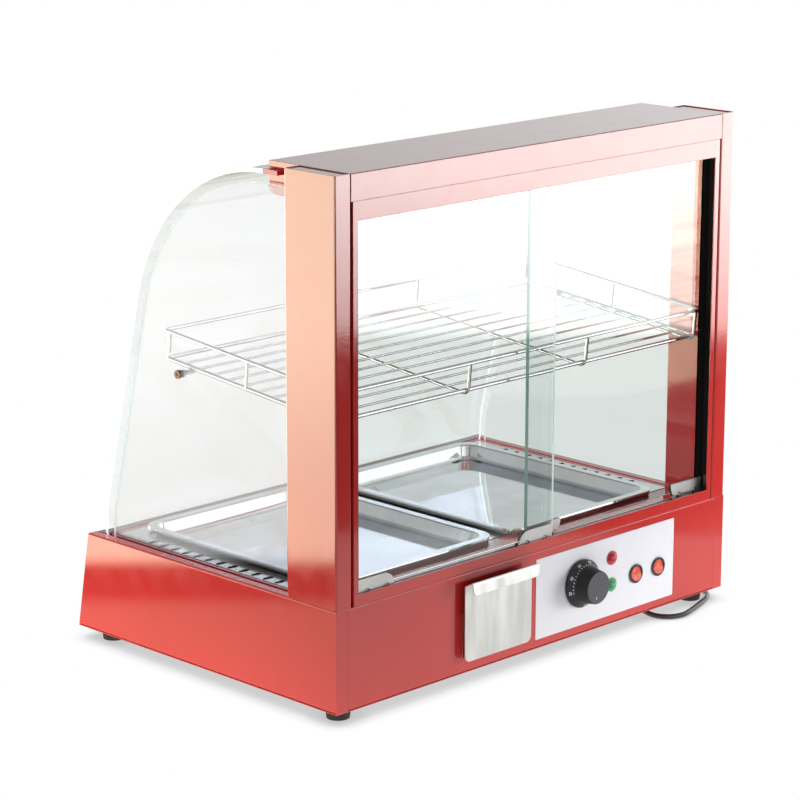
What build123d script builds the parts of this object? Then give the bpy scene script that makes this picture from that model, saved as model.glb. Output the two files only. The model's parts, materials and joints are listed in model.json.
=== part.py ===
from build123d import *
import os
from math import acos, atan, cos, degrees, isclose, radians, sin, tan

os.makedirs("parts", exist_ok=True)

# Overall sizes of the case, in millimetres
LENGTH = 660.0
BASE_DEPTH = 442.0
FRONT_SET_BACK = 21.6
FOOT_H = 15.0
BASE_TOP = 133.0
HEIGHT = 607.0
SHEET = 1.2
BEND = 2.0
GLASS = 5.0
FIT = 0.3
KNOB_OUT = 28.0

HALF = LENGTH / 2
REAR = -(BASE_DEPTH - KNOB_OUT) / 2
FRONT_LOW = REAR + BASE_DEPTH
FRONT_TOP = FRONT_LOW - FRONT_SET_BACK
FLOOR_Z = FOOT_H + SHEET
INSIDE = REAR + SHEET

# Base sheet metal: ledges round the glass and the seat that the panes stand on
FLANGE = 15.0
REAR_FLANGE = 17.0
SIDE_LEDGE = 14.0
FRONT_LEDGE = 15.0
SEAT_DEPTH = 7.0
SEAT_MARGIN = 10.0
SILL_FLANGE = 20.0
VENT_L = 40.0
VENT_W = 6.0
VENT_PITCH = 62.0
VENT_ROW_GAP = 200.0
VENT_COUNT = 8

SEAT_Z = BASE_TOP - SEAT_DEPTH
PANE_X = HALF - SIDE_LEDGE
LEDGE_X = PANE_X + FIT
STEP_X = PANE_X - GLASS - FIT
FOOT_Y = FRONT_TOP - FRONT_LEDGE
LIP_Y = FOOT_Y + FIT
STEP_Y = FOOT_Y - GLASS - FIT

# Posts, header and the ring that frames the doors
POST_W = 23.3
POST_D = 78.0
POST_R = 2.5
POST_SLOT_DEPTH = 12.0
CAP_SINK = 1.0
HEADER_H = 30.0
COVER_H = 8.0
COVER_EDGE = 1.0
JAW_DROP = 6.0
NOSE_R = 14.0
JAW_REACH = 25.0
HEADER_FLANGE = 20.0
FRAME_D = 22.0
FRAME_GAP = 3.2
JAMB_W = 6.8
SILL_H = 12.5
HEAD_H = 21.3

POST_X = HALF - POST_W
HEADER_X = POST_X - FIT
POST_FRONT = REAR + POST_D
HEADER_Z = HEIGHT - HEADER_H
FRAME_X = POST_X - FRAME_GAP
FRAME_FRONT = REAR + FRAME_D
OPENING_X = FRAME_X - JAMB_W
OPENING_LOW = BASE_TOP + SILL_H
OPENING_HIGH = HEADER_Z - HEAD_H

# Bent front glass: upright foot, gentle bend, leaning straight and the large arc into the header
FOOT_STRAIGHT = 17.0
FOOT_BEND_R = 120.0
LEAN = 13.5
ARC_R = 222.0
COVER_GAP = 0.5
SIDE_INSET = 16.0
GLASS_CORNER_R = 12.0

GLASS_TOP = HEIGHT - COVER_H - COVER_GAP
FOOT_BEND_Z = BASE_TOP + FOOT_STRAIGHT
FOOT_BEND_Y = FOOT_Y - FOOT_BEND_R
ARC_Z = GLASS_TOP - ARC_R
LEAN_RUN_Z = ARC_Z + ARC_R * sin(radians(LEAN)) - FOOT_BEND_Z - FOOT_BEND_R * sin(radians(LEAN))
LEAN_TOP_Y = FOOT_BEND_Y + FOOT_BEND_R * cos(radians(LEAN)) - LEAN_RUN_Z * tan(radians(LEAN))
ARC_Y = LEAN_TOP_Y - ARC_R * cos(radians(LEAN))
JAW_BACK = ARC_Y - JAW_REACH
JAW_Z = GLASS_TOP - GLASS
HEADER_LOW = HEADER_Z - JAW_DROP

# Deck, tray openings and the two half-size trays
DECK_MARGIN = 4.7
DECK_GAP = 1.5
DECK_BEARING = 5.0
DECK_REAR = 74.0
BRIDGE_W = 14.0
HOLE_D = 6.0
HOLE_PITCH = 19.6
HOLE_COUNT = 12
HOLE_START = 49.0
OUTER_ROW = 9.0
INNER_ROW = 11.6
TRAY_SIDE = 53.5
TRAY_GAP = 23.0
TRAY_REAR = 62.5
TRAY_FRONT = 54.5
TRAY_RIM = 10.0
TRAY_SHEET = 1.0
TRAY_DEPTH = 20.0
TRAY_HEM = 2.4
TRAY_STAND = 7.0
TRAY_CORNER = 24.0
BODY_CORNER = 20.0
TRAY_BEND = 5.0
TRAY_BROW = 2.0
TRAY_TAPER = 5.0
TRAY_ROOM = 1.2
PANEL_INSET = 30.0
PANEL_RISE = 1.5
PANEL_TAPER = 30.0

DECK_X = STEP_X - DECK_MARGIN - DECK_GAP / 2
DECK_FRONT = STEP_Y - DECK_MARGIN - DECK_GAP
TRAY_W = HALF - TRAY_SIDE - TRAY_GAP / 2
TRAY_L = BASE_DEPTH - TRAY_REAR - TRAY_FRONT
TRAY_X = (TRAY_W + TRAY_GAP) / 2
TRAY_Y0 = REAR + TRAY_REAR
TRAY_Y1 = TRAY_Y0 + TRAY_L
TRAY_TOP = BASE_TOP + TRAY_STAND
RIM_LOW = TRAY_TOP - TRAY_SHEET
BODY_W = TRAY_W - 2 * TRAY_RIM
BODY_L = TRAY_L - 2 * TRAY_RIM
NOTCH_W = BODY_W + 2 * TRAY_ROOM
NOTCH_FRONT = TRAY_Y1 - TRAY_RIM + TRAY_ROOM
DECK_BACK = REAR + DECK_REAR
LEDGE_EDGE = TRAY_Y0 + TRAY_RIM - TRAY_ROOM

# Sloping wire shelf
SHELF_REAR = 33.0
SHELF_FRONT = 138.5
SHELF_RISE = 201.0
SHELF_TILT = 5.5
RIM_H = 32.4
FRAME_WIRE = 5.0
RIM_WIRE = 4.4
UPRIGHT_WIRE = 3.6
CROSS_WIRE = 4.0
LONG_WIRE = 3.0
LONG_COUNT = 10
WELD = 0.6
SHELF_ROOM = 0.8
WIRE_BEND = 8.0
RIM_BEND = 5.0
END_WIRE_INSET = 6.0
PIN_D = 5.0
PIN_HEAD_D = 8.5
PIN_HEAD_T = 2.2
PIN_AT = 6.0
SCREW_HEAD_D = 10.0
SCREW_HEAD_T = 3.0
NUT_T = 4.0
SCREW_AT = 236.0
BEARING = 0.05

SHELF_D = BASE_DEPTH - SHELF_REAR - SHELF_FRONT
WIRE_OUT = (FRAME_WIRE + CROSS_WIRE) / 2 - WELD
RIM_X = POST_X - SHELF_ROOM - RIM_WIRE / 2
SHELF_X = RIM_X - RIM_WIRE / 2
SHELF_PLANE = Plane(
    origin=(0, REAR + SHELF_REAR, BASE_TOP + SHELF_RISE),
    x_dir=(1, 0, 0),
    z_dir=(0, -sin(radians(SHELF_TILT)), cos(radians(SHELF_TILT))),
)

# Sliding doors on rollers
TRACK_T = 3.6
TRACK_RIB = 2.5
TRACK_ROOM = 0.2
DOOR_PITCH = 9.0
DOOR_FIRST = 6.5
DOOR_OVERLAP = 32.0
DOOR_AJAR = 5.0
WHEEL_R = 5.0
WHEEL_W = 4.6
WHEEL_GAP = 0.2
WHEEL_EDGE = 0.4
AXLE_D = 2.5
AXLE_FIT = 0.05
RIVET_D = 4.0
RIVET_T = 0.5
SHOE_L = 57.0
SHOE_H = 19.0
SHOE_T = 0.8
SHOE_R = 17.0
SHOE_INSET = 2.0
SHOE_SKIRT = 2.0
NOTCH_ROOM = 1.0
WHEEL_SPACING = 30.0
GROOVE_ROOM = 0.6
UPPER_TRACK_H = 14.0
UPPER_ROOF = 3.0
DOOR_ENTRY = 8.0

TRACK_Z = BASE_TOP + SHEET
TRACK_FLOOR = TRACK_Z + TRACK_T
WHEEL_Z = TRACK_FLOOR + WHEEL_GAP + WHEEL_R
SHOE_LOW = WHEEL_Z - SHOE_SKIRT
SHOE_WEB = WHEEL_Z + WHEEL_R + WHEEL_GAP
DOOR_LOW = SHOE_WEB + SHOE_T
UPPER_TRACK_LOW = HEADER_Z - SHEET - UPPER_TRACK_H
DOOR_HIGH = UPPER_TRACK_LOW + DOOR_ENTRY
TRACK_X = FRAME_X - SHEET - TRACK_ROOM
DOOR_END = TRACK_X - TRACK_ROOM
DOOR_W = DOOR_END + DOOR_OVERLAP / 2
DOOR_Y = [REAR + DOOR_FIRST + row * DOOR_PITCH for row in range(2)]

# Water drawer
DRAWER_X = -83.0
DRAWER_W = 110.0
DRAWER_FOOT_GAP = 16.0
DRAWER_TOP_GAP = 12.0
DRAWER_OPEN = 7.5
DRAWER_CORNER = 8.0
LIP_OUT = 13.0
LIP_RISE = 7.0
LIP_DROP = 15.0
LIP_LEAN = 1.5
LIP_CORNER = 6.0
BOX_W = 96.0
BOX_FOOT_GAP = 19.0
BOX_TOP_GAP = 49.0
BOX_L = 184.0
BOX_WALL = 1.0
BOX_CORNER = 6.0
BOX_ROOM = 1.0
GUIDE_ROOM = 0.5
GUIDE_GAP = 0.2
GUIDE_L = 196.0
GUIDE_DROP = 6.0
GUIDE_TOE = 11.0

DRAWER_LOW = FOOT_H + DRAWER_FOOT_GAP
DRAWER_HIGH = BASE_TOP - DRAWER_TOP_GAP
BOX_LOW = FOOT_H + BOX_FOOT_GAP
BOX_H = BASE_TOP - BOX_TOP_GAP - BOX_LOW
GUIDE_H = BOX_H - GUIDE_DROP

# Controls on the rear panel
LABEL_X = (-11.5, 235.0)
LABEL_FOOT_GAP = 11.0
LABEL_TOP_GAP = 10.0
LABEL_T = 0.6
LABEL_R = 1.0
KNOB_X = 67.0
KNOB_DROP = 55.0
SKIRT_D = 58.0
SKIRT_T = 2.5
CONE_H = 7.0
CAP_D = 44.0
CAP_TIP_D = 39.5
KNOB_GAP = 1.4
SHAFT_D = 6.0
SHAFT_FIT = 0.05
SHAFT_IN = 14.0
SHAFT_OUT = 15.0
KNOB_EDGE = 2.0
NECK_D = 9.6
NECK_HOLE = 10.0
THERMO_SIZE = 42.0
THERMO_D = 38.0
LAMP_X = 121.0
LAMP_DROPS = (36.0, 69.0)
LAMP_D = 14.0
LAMP_RISE = 6.0
LAMP_FLANGE = 17.0
LAMP_FLANGE_T = 1.2
LAMP_BARREL = 11.6
LAMP_HOLE = 12.0
LAMP_BACK = 22.0
SWITCH_X = (165.0, 206.0)
SWITCH_DROP = 65.0
BEZEL_D = 23.0
BEZEL_T = 2.0
BARREL_D = 20.0
SWITCH_HOLE = 20.4
SWITCH_BACK = 24.0
ROCKER_BORE = 18.2
ROCKER_R = 8.9
ROCKER_ROOM = 10.0
ROCKER_SINK = 1.0
ROCKER_FACE = 0.8
ROCKER_REACH = 4.3
ROCKER_BACK = 4.0
TRUNNION_D = 1.4
TRUNNION_IN = 0.5
TRUNNION_FIT = 0.05

LABEL_Z = (FOOT_H + LABEL_FOOT_GAP, BASE_TOP - LABEL_TOP_GAP)
KNOB_Z = BASE_TOP - KNOB_DROP
LAMP_Z = [BASE_TOP - drop for drop in LAMP_DROPS]
SWITCH_Z = BASE_TOP - SWITCH_DROP
LABEL_FACE = REAR - LABEL_T
BEZEL_FACE = LABEL_FACE - BEZEL_T
PIVOT_Y = BEZEL_FACE + ROCKER_SINK + ROCKER_FACE
TRUNNION_REACH = ROCKER_BORE / 2 + TRUNNION_IN

# Heater and wiring inside the base
HEATER_D = 8.0
HEATER_DROP = 36.0
HEATER_BENDS = 34.0
HEATER_LEFT = 80.0
HEATER_RIGHT = 150.0
HEATER_TAILS = 90.0
HEATER_REAR = 137.0
HEATER_PITCH = 70.0
BRACKET_LEFT = 145.0
BRACKET_RIGHT = 205.0
BRACKET_T = 1.5
BRACKET_RIM = 12.0
HEATER_FIT = 0.2
TERMINAL_SIZE = (52.0, 24.0, 18.0)
TERMINAL_SIDE = 100.0
TERMINAL_REAR = 97.0

HEATER_Z = BASE_TOP - HEATER_DROP
HEATER_X = (HEATER_LEFT - HALF, HALF - HEATER_RIGHT, HALF - HEATER_TAILS)
HEATER_Y = [REAR + HEATER_REAR + leg * HEATER_PITCH for leg in range(4)]
BRACKET_X = (BRACKET_LEFT - HALF, HALF - BRACKET_RIGHT)
TERMINAL_AT = (HALF - TERMINAL_SIDE, REAR + TERMINAL_REAR)

# Light under the header
LIGHT_D = 16.0
LIGHT_END = 110.0
HOLDER_SIZE = (20.0, 24.0, 22.0)

LIGHT_L = LENGTH - 2 * LIGHT_END

# Feet
FOOT_X = 28.0
FOOT_REAR = 27.0
FOOT_FRONT = 31.0
FOOT_TOP_R = 15.0
FOOT_LOW_R = 13.0
FOOT_RECESS_R = 5.0
FOOT_RECESS = 9.0

# Mains lead: one strain relief under the base, a free stretch, a put-away coil and a plug
CORD_D = 6.5
CORD_Z = 3.5
ARC_SHARE = 0.45
GLAND_SIDE = 122.0
GLAND_REAR = 59.0
GLAND_L = 30.0
GLAND_W = 24.0
GLAND_LOW = 2.6
GLAND_ROUND = 4.0
RELIEF_L = 22.0
RELIEF_D = 11.0
RELIEF_TIP_D = 8.6
EXIT_Z = 8.2
COIL_SIDE = 85.0
COIL_REAR = 217.0
COIL_R = 36.0
COIL_TUBE_R = 10.0
LANE_OUT = 5.8
TIE_W = 8.0
TIE_T = 0.7
TIE_ROOM = 0.3
PLUG_R = 18.0
PLUG_TIP_R = 8.0
PLUG_AHEAD = 72.0
PLUG_RELIEF = 16.0
PLUG_TAPER = 22.0
PLUG_L = 22.0
PLUG_PIN_D = 4.8
PLUG_PIN_L = 19.0
PLUG_PIN_GAP = 19.0

GLAND_X = HALF - GLAND_SIDE
GLAND_Y = (REAR + GLAND_REAR, REAR + GLAND_REAR + GLAND_L)
EXIT_Y = GLAND_Y[0] - RELIEF_L
COIL_X = HALF + COIL_SIDE
COIL_Y = REAR + COIL_REAR
COIL_Z = COIL_TUBE_R + TIE_ROOM + TIE_T
PLUG_X = COIL_X - COIL_R
PLUG_Y = COIL_Y + PLUG_AHEAD
LANE_X = PLUG_X - LANE_OUT
CORD_ROUTE = [
    (GLAND_X, EXIT_Y, EXIT_Z),
    (GLAND_X, EXIT_Y - 8.0, EXIT_Z),
    (HALF - 121.7, REAR + 20.5, 6.2),
    (HALF - 121.0, REAR + 11.0, 4.1),
    (HALF - 120.2, REAR, CORD_Z),
    (HALF - 114.4, REAR - 9.3, CORD_Z),
    (HALF - 104.9, REAR - 14.8, CORD_Z),
    (HALF - 91.9, REAR - 15.2, CORD_Z),
    (HALF - 74.0, REAR - 11.6, CORD_Z),
    (HALF - 55.0, REAR - 7.4, CORD_Z),
    (HALF - 36.0, REAR - 1.0, CORD_Z),
    (HALF - 19.0, REAR + 6.2, CORD_Z),
    (HALF - 7.5, REAR + 14.5, CORD_Z),
    (HALF - 1.0, REAR + 26.5, CORD_Z),
    (HALF + 3.5, REAR + 44.0, CORD_Z),
    (HALF + 10.0, REAR + 72.0, CORD_Z),
    (HALF + 20.5, REAR + 101.0, CORD_Z),
    (HALF + 34.5, REAR + 129.0, CORD_Z),
    (LANE_X - 2.4, COIL_Y - 58.0, CORD_Z),
    (LANE_X - 0.3, COIL_Y - 32.0, 5.0),
    (LANE_X, COIL_Y - 10.0, 7.0),
]
TAIL_ROUTE = [
    (LANE_X, COIL_Y + 10.0, 14.6),
    (LANE_X + 0.4, COIL_Y + 23.0, 15.2),
    (LANE_X + 2.4, COIL_Y + 36.0, 16.2),
    (LANE_X + 5.0, COIL_Y + 49.0, 17.3),
    (PLUG_X, PLUG_Y - 11.0, PLUG_R),
    (PLUG_X, PLUG_Y, PLUG_R),
]

# Plane of the sloped front face, with its normal pointing out of the case
SLOPE = atan(FRONT_SET_BACK / (BASE_TOP - FOOT_H))
SLOPE_PLANE = Plane(
    origin=(0, FRONT_LOW, FOOT_H), x_dir=(1, 0, 0), z_dir=(0, cos(SLOPE), sin(SLOPE))
)


def slab(x_span, y_span, z_span, mode=Mode.ADD):
    """Add or cut a block given by its span along each axis."""
    spans = (x_span, y_span, z_span)
    with Locations(tuple((low + high) / 2 for low, high in spans)):
        Box(*(high - low for low, high in spans), mode=mode)


def turned(x, z):
    """Sketch plane for a turned piece on the rear panel: across is radius, up is outward."""
    return Plane(origin=(x, REAR, z), x_dir=(1, 0, 0), z_dir=(0, 0, -1))


def facing(x, y, z):
    """Sketch plane at a point, facing the operator."""
    return Plane(origin=(x, y, z), x_dir=(1, 0, 0), z_dir=(0, -1, 0))


def across(x, z):
    """Axis through the rear panel at one control."""
    return Axis((x, REAR, z), (0, 1, 0))


def save(name, piece):
    """Name a finished piece and write it."""
    piece.part.label = name
    export_step(piece.part, f"parts/{name}.step")


def glass_line(inset):
    """Draw the bent glass line, moved inward; give its lower and upper ends."""
    lean = radians(LEAN)
    low = (FOOT_Y - inset, SEAT_Z)
    bend_start = (FOOT_Y - inset, FOOT_BEND_Z)
    bend_r = FOOT_BEND_R - inset
    arc_r = ARC_R - inset
    bend_end = (FOOT_BEND_Y + bend_r * cos(lean), FOOT_BEND_Z + bend_r * sin(lean))
    arc_start = (ARC_Y + arc_r * cos(lean), ARC_Z + arc_r * sin(lean))
    Line(low, bend_start)
    CenterArc((FOOT_BEND_Y, FOOT_BEND_Z), bend_r, 0, LEAN)
    Line(bend_end, arc_start)
    CenterArc((ARC_Y, ARC_Z), arc_r, LEAN, 90 - LEAN)
    return low, (ARC_Y, ARC_Z + arc_r)


def control_holes(mode):
    """Circles for the thermostat neck, the lamps and the switches."""
    with Locations((KNOB_X, KNOB_Z)):
        Circle(NECK_HOLE / 2, mode=mode)
    with Locations(*((LAMP_X, z) for z in LAMP_Z)):
        Circle(LAMP_HOLE / 2, mode=mode)
    with Locations(*((x, SWITCH_Z) for x in SWITCH_X)):
        Circle(SWITCH_HOLE / 2, mode=mode)


def wire(path, diameter):
    """Sweep a round wire along a finished path."""
    with BuildSketch(path ^ 0) as section:
        Circle(diameter / 2)
    sweep(sections=section.sketch, path=path)


def corner_radii(route):
    """Largest arcs that the runs of a cord's route allow, one for each inner point."""
    points = [Vector(*point) for point in route]
    radii = []
    for before, point, after in zip(points, points[1:], points[2:]):
        run_in = point - before
        run_out = after - point
        half_turn = radians(run_in.get_angle(run_out)) / 2
        radii.append(ARC_SHARE * min(run_in.length, run_out.length) / tan(half_turn))
    return radii


# Bottom plate with two rows of air slots
with BuildPart() as bottom_plate:
    slab((-HALF, HALF), (REAR, FRONT_LOW), (FOOT_H, FLOOR_Z))
    with BuildSketch(Plane.XY.offset(FLOOR_Z)):
        with GridLocations(VENT_PITCH, VENT_ROW_GAP, VENT_COUNT, 2):
            SlotOverall(VENT_L, VENT_W)
    extrude(amount=-SHEET, mode=Mode.SUBTRACT)
save("bottom_plate", bottom_plate)

# Side panel: foot flange, wall, ledge and the lip beside the pane, folded from one sheet
with BuildPart() as left_side_panel:
    with BuildSketch(Plane.XZ.offset(-FRONT_LOW)):
        with BuildLine():
            FilletPolyline(
                (-HALF + FLANGE, FLOOR_Z),
                (-HALF, FLOOR_Z),
                (-HALF, BASE_TOP),
                (-LEDGE_X, BASE_TOP),
                (-LEDGE_X, SEAT_Z),
                radius=BEND,
            )
            offset(amount=SHEET, side=Side.RIGHT)
        make_face()
    extrude(amount=BASE_DEPTH)
    slab((-HALF, -HALF + REAR_FLANGE), (REAR, INSIDE), (FLOOR_Z, BASE_TOP))
    split(bisect_by=SLOPE_PLANE, keep=Keep.BOTTOM)
    slab(
        (-LEDGE_X - BEND, -LEDGE_X),
        (LIP_Y, FRONT_LOW),
        (SEAT_Z, BASE_TOP - SHEET),
        mode=Mode.SUBTRACT,
    )
    slab(
        (SHEET - HALF, FLANGE - HALF),
        (FRONT_LOW - 2 * FLANGE, FRONT_LOW),
        (FLOOR_Z, FLOOR_Z + BEND),
        mode=Mode.SUBTRACT,
    )
save("left_side_panel", left_side_panel)

with BuildPart() as right_side_panel:
    mirror(left_side_panel.part, about=Plane.YZ)
save("right_side_panel", right_side_panel)

# Front panel: sloped wall, ledge before the glass and the lip that keeps the glass foot
SLOPE_FOOT = FRONT_LOW - SHEET * tan(SLOPE)
with BuildPart() as front_panel:
    with BuildSketch(Plane.YZ):
        with BuildLine():
            FilletPolyline(
                (SLOPE_FOOT - FLANGE, FLOOR_Z),
                (SLOPE_FOOT, FLOOR_Z),
                (FRONT_TOP, BASE_TOP),
                (LIP_Y, BASE_TOP),
                (LIP_Y, SEAT_Z),
                radius=BEND,
            )
            offset(amount=SHEET, side=Side.LEFT)
        make_face()
    extrude(amount=HALF - SHEET, both=True)
    for x_span in ((-HALF, -LEDGE_X), (LEDGE_X, HALF)):
        slab(x_span, (REAR, FRONT_LOW), (BASE_TOP - SHEET, BASE_TOP), mode=Mode.SUBTRACT)
        slab(x_span, (REAR, LIP_Y + SHEET), (FLOOR_Z + BEND, BASE_TOP), mode=Mode.SUBTRACT)
    wall_end = HALF - SHEET
    for x_span in ((-wall_end, BEND - wall_end), (wall_end - BEND, wall_end)):
        slab(x_span, (REAR, FRONT_LOW), (BASE_TOP - BEND, BASE_TOP), mode=Mode.SUBTRACT)
save("front_panel", front_panel)

# Control panel: flanges above and below, the drawer opening and the control holes
with BuildPart() as control_panel:
    with BuildSketch(Plane.YZ):
        with BuildLine():
            FilletPolyline(
                (REAR + FLANGE, FLOOR_Z),
                (REAR, FLOOR_Z),
                (REAR, BASE_TOP),
                (REAR + SILL_FLANGE, BASE_TOP),
                radius=BEND,
            )
            offset(amount=SHEET, side=Side.RIGHT)
        make_face()
    extrude(amount=HALF - REAR_FLANGE - FIT, both=True)
    with BuildSketch(Plane.XZ.offset(-REAR)):
        control_holes(Mode.ADD)
        with Locations((DRAWER_X, BOX_LOW + BOX_H / 2)):
            Rectangle(BOX_W + 2 * BOX_ROOM, BOX_H + 2 * BOX_ROOM)
    extrude(amount=-SHEET, mode=Mode.SUBTRACT)
save("control_panel", control_panel)

# Plain white label plate round the controls
with BuildPart() as label_plate:
    with BuildSketch(Plane.XZ.offset(-REAR)):
        with Locations((sum(LABEL_X) / 2, sum(LABEL_Z) / 2)):
            RectangleRounded(LABEL_X[1] - LABEL_X[0], LABEL_Z[1] - LABEL_Z[0], LABEL_R)
        control_holes(Mode.SUBTRACT)
    extrude(amount=LABEL_T)
save("label_plate", label_plate)

# Four rubber feet with a screw recess
with BuildPart() as feet:
    foot_x = (FOOT_X - HALF, HALF - FOOT_X)
    foot_y = (REAR + FOOT_REAR, FRONT_LOW - FOOT_FRONT)
    foot_places = [(x, y) for x in foot_x for y in foot_y]
    with Locations(*foot_places):
        Cone(FOOT_LOW_R, FOOT_TOP_R, FOOT_H, align=(Align.CENTER, Align.CENTER, Align.MIN))
    with Locations(*foot_places):
        Cylinder(
            FOOT_RECESS_R,
            FOOT_RECESS,
            align=(Align.CENTER, Align.CENTER, Align.MIN),
            mode=Mode.SUBTRACT,
        )
save("feet", feet)

# Painted top frame: seat for the panes, raised margin, bearing for the deck and collars for the trays
FRAME_BACK = REAR + SILL_FLANGE + FIT
with BuildPart() as top_frame:
    seat_x = LEDGE_X + SEAT_MARGIN
    inner_x = STEP_X - SHEET
    bearing_x = DECK_X - DECK_BEARING
    bearing_z = (BASE_TOP - 2 * SHEET, BASE_TOP - SHEET)
    inner_y = STEP_Y - SHEET
    slab((-seat_x, seat_x), (FRAME_BACK, LIP_Y + SEAT_MARGIN), (SEAT_Z - SHEET, SEAT_Z))
    slab((-STEP_X, STEP_X), (FRAME_BACK, STEP_Y), (SEAT_Z - SHEET, BASE_TOP))
    slab(
        (-inner_x, inner_x),
        (FRAME_BACK, inner_y),
        (SEAT_Z - SHEET, BASE_TOP - SHEET),
        mode=Mode.SUBTRACT,
    )
    slab(
        (-DECK_X - DECK_GAP, DECK_X + DECK_GAP),
        (LEDGE_EDGE, DECK_FRONT + DECK_GAP),
        (BASE_TOP - SHEET, BASE_TOP),
        mode=Mode.SUBTRACT,
    )
    for x_span in ((-inner_x, -bearing_x), (bearing_x, inner_x), (-BRIDGE_W / 2, BRIDGE_W / 2)):
        slab(x_span, (LEDGE_EDGE - SEAT_MARGIN, inner_y), bearing_z)
    slab((-inner_x, inner_x), (DECK_FRONT - DECK_BEARING, inner_y), bearing_z)
    slab((-inner_x, inner_x), (INSIDE + BEND, FRAME_BACK + SEAT_MARGIN), bearing_z)
    for x in (-TRAY_X, TRAY_X):
        slab(
            (x - NOTCH_W / 2, x + NOTCH_W / 2),
            (LEDGE_EDGE - SHEET, LEDGE_EDGE),
            (BASE_TOP - SHEET, RIM_LOW),
        )
save("top_frame", top_frame)

# Perforated deck: comb of three strips with collars round the tray notches
NOTCH_L = NOTCH_FRONT - DECK_BACK + TRAY_RIM + BODY_CORNER
with BuildPart() as deck_plate:
    notch_places = [(x, NOTCH_FRONT - NOTCH_L / 2) for x in (-TRAY_X, TRAY_X)]
    with BuildSketch(Plane.XY.offset(BASE_TOP - SHEET)):
        with Locations((0, (DECK_BACK + DECK_FRONT) / 2)):
            Rectangle(2 * DECK_X, DECK_FRONT - DECK_BACK)
        with Locations(*notch_places):
            RectangleRounded(NOTCH_W, NOTCH_L, BODY_CORNER, mode=Mode.SUBTRACT)
    extrude(amount=SHEET)
    with BuildSketch(Plane.XY.offset(BASE_TOP - SHEET)):
        with Locations(*notch_places):
            RectangleRounded(NOTCH_W + 2 * SHEET, NOTCH_L + 2 * SHEET, BODY_CORNER + SHEET)
        with Locations(*notch_places):
            RectangleRounded(NOTCH_W, NOTCH_L, BODY_CORNER, mode=Mode.SUBTRACT)
        with Locations((0, DECK_BACK)):
            Rectangle(LENGTH, 2 * NOTCH_L, align=(Align.CENTER, Align.MAX), mode=Mode.SUBTRACT)
    extrude(amount=RIM_LOW - BASE_TOP + SHEET)
    with BuildSketch(Plane.XY.offset(BASE_TOP)):
        for x in (OUTER_ROW - DECK_X, -INNER_ROW, INNER_ROW, DECK_X - OUTER_ROW):
            for hole in range(HOLE_COUNT):
                with Locations((x, DECK_BACK + HOLE_START + hole * HOLE_PITCH)):
                    Circle(HOLE_D / 2)
    extrude(amount=-SHEET, mode=Mode.SUBTRACT)
save("deck_plate", deck_plate)

# Two trays: hemmed rim, tapered body with rounded bends and a raised panel pressed in the floor
def tray_form(middle, inset):
    """Tapered body with a rounded foot, drawn in from the outside of the sheet."""
    with BuildPart() as form:
        with BuildSketch(Plane.XY.offset(TRAY_TOP)):
            with Locations(middle):
                RectangleRounded(BODY_W - 2 * inset, BODY_L - 2 * inset, BODY_CORNER - inset)
        extrude(amount=inset - TRAY_DEPTH, taper=TRAY_TAPER)
        fillet(form.edges().group_by(Axis.Z)[0], radius=TRAY_BEND + TRAY_SHEET - inset)
    return form.part


for name, x in (("tray_left", -TRAY_X), ("tray_right", TRAY_X)):
    middle = (x, (TRAY_Y0 + TRAY_Y1) / 2)
    body = tray_form(middle, 0)
    hollow = tray_form(middle, TRAY_SHEET)
    with BuildPart() as tray:
        with BuildSketch(Plane.XY.offset(RIM_LOW)):
            with Locations(middle):
                RectangleRounded(TRAY_W, TRAY_L, TRAY_CORNER)
        extrude(amount=TRAY_SHEET)
        add(body)
        add(hollow, mode=Mode.SUBTRACT)
        mouth = tray.faces().sort_by(Axis.Z)[-1].inner_wires()[0]
        fillet(mouth.edges(), radius=TRAY_BROW)
        with BuildSketch(Plane.XY.offset(TRAY_TOP - TRAY_HEM)):
            with Locations(middle):
                RectangleRounded(TRAY_W, TRAY_L, TRAY_CORNER)
                RectangleRounded(
                    TRAY_W - 2 * TRAY_SHEET,
                    TRAY_L - 2 * TRAY_SHEET,
                    TRAY_CORNER - TRAY_SHEET,
                    mode=Mode.SUBTRACT,
                )
        extrude(amount=TRAY_HEM)
        with BuildSketch(Plane.XY.offset(TRAY_TOP - TRAY_DEPTH + TRAY_SHEET)):
            with Locations(middle):
                RectangleRounded(BODY_W - 2 * PANEL_INSET, BODY_L - 2 * PANEL_INSET, BODY_CORNER)
        extrude(amount=PANEL_RISE, taper=PANEL_TAPER)
    save(name, tray)

# Corner posts: rounded tubes with a sunk cap and a slot for the side glass
pin_place = SHELF_PLANE.from_local_coords((0, PIN_AT, RIM_H - (RIM_WIRE + PIN_D) / 2 - BEARING))
with BuildPart() as left_post:
    post_middle = (-HALF + POST_W / 2, REAR + POST_D / 2)
    with BuildSketch(Plane.XY.offset(BASE_TOP)):
        with Locations(post_middle):
            RectangleRounded(POST_W, POST_D, POST_R)
            RectangleRounded(POST_W - 2 * SHEET, POST_D - 2 * SHEET, POST_R - SHEET, mode=Mode.SUBTRACT)
    extrude(amount=HEIGHT - BASE_TOP)
    with BuildSketch(Plane.XY.offset(HEIGHT - CAP_SINK - SHEET)):
        with Locations(post_middle):
            RectangleRounded(POST_W - SHEET, POST_D - SHEET, POST_R - SHEET / 2)
    extrude(amount=SHEET)
    slab(
        (-LEDGE_X, -STEP_X),
        (POST_FRONT - SHEET, POST_FRONT),
        (BASE_TOP, GLASS_TOP - SIDE_INSET + FIT),
        mode=Mode.SUBTRACT,
    )
    with BuildSketch(Plane.YZ.offset(-POST_X)):
        with Locations((pin_place.Y, pin_place.Z)):
            Circle(PIN_D / 2 + BEARING)
    extrude(amount=-SHEET, mode=Mode.SUBTRACT)
save("left_post", left_post)

with BuildPart() as right_post:
    mirror(left_post.part, about=Plane.YZ)
save("right_post", right_post)

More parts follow.
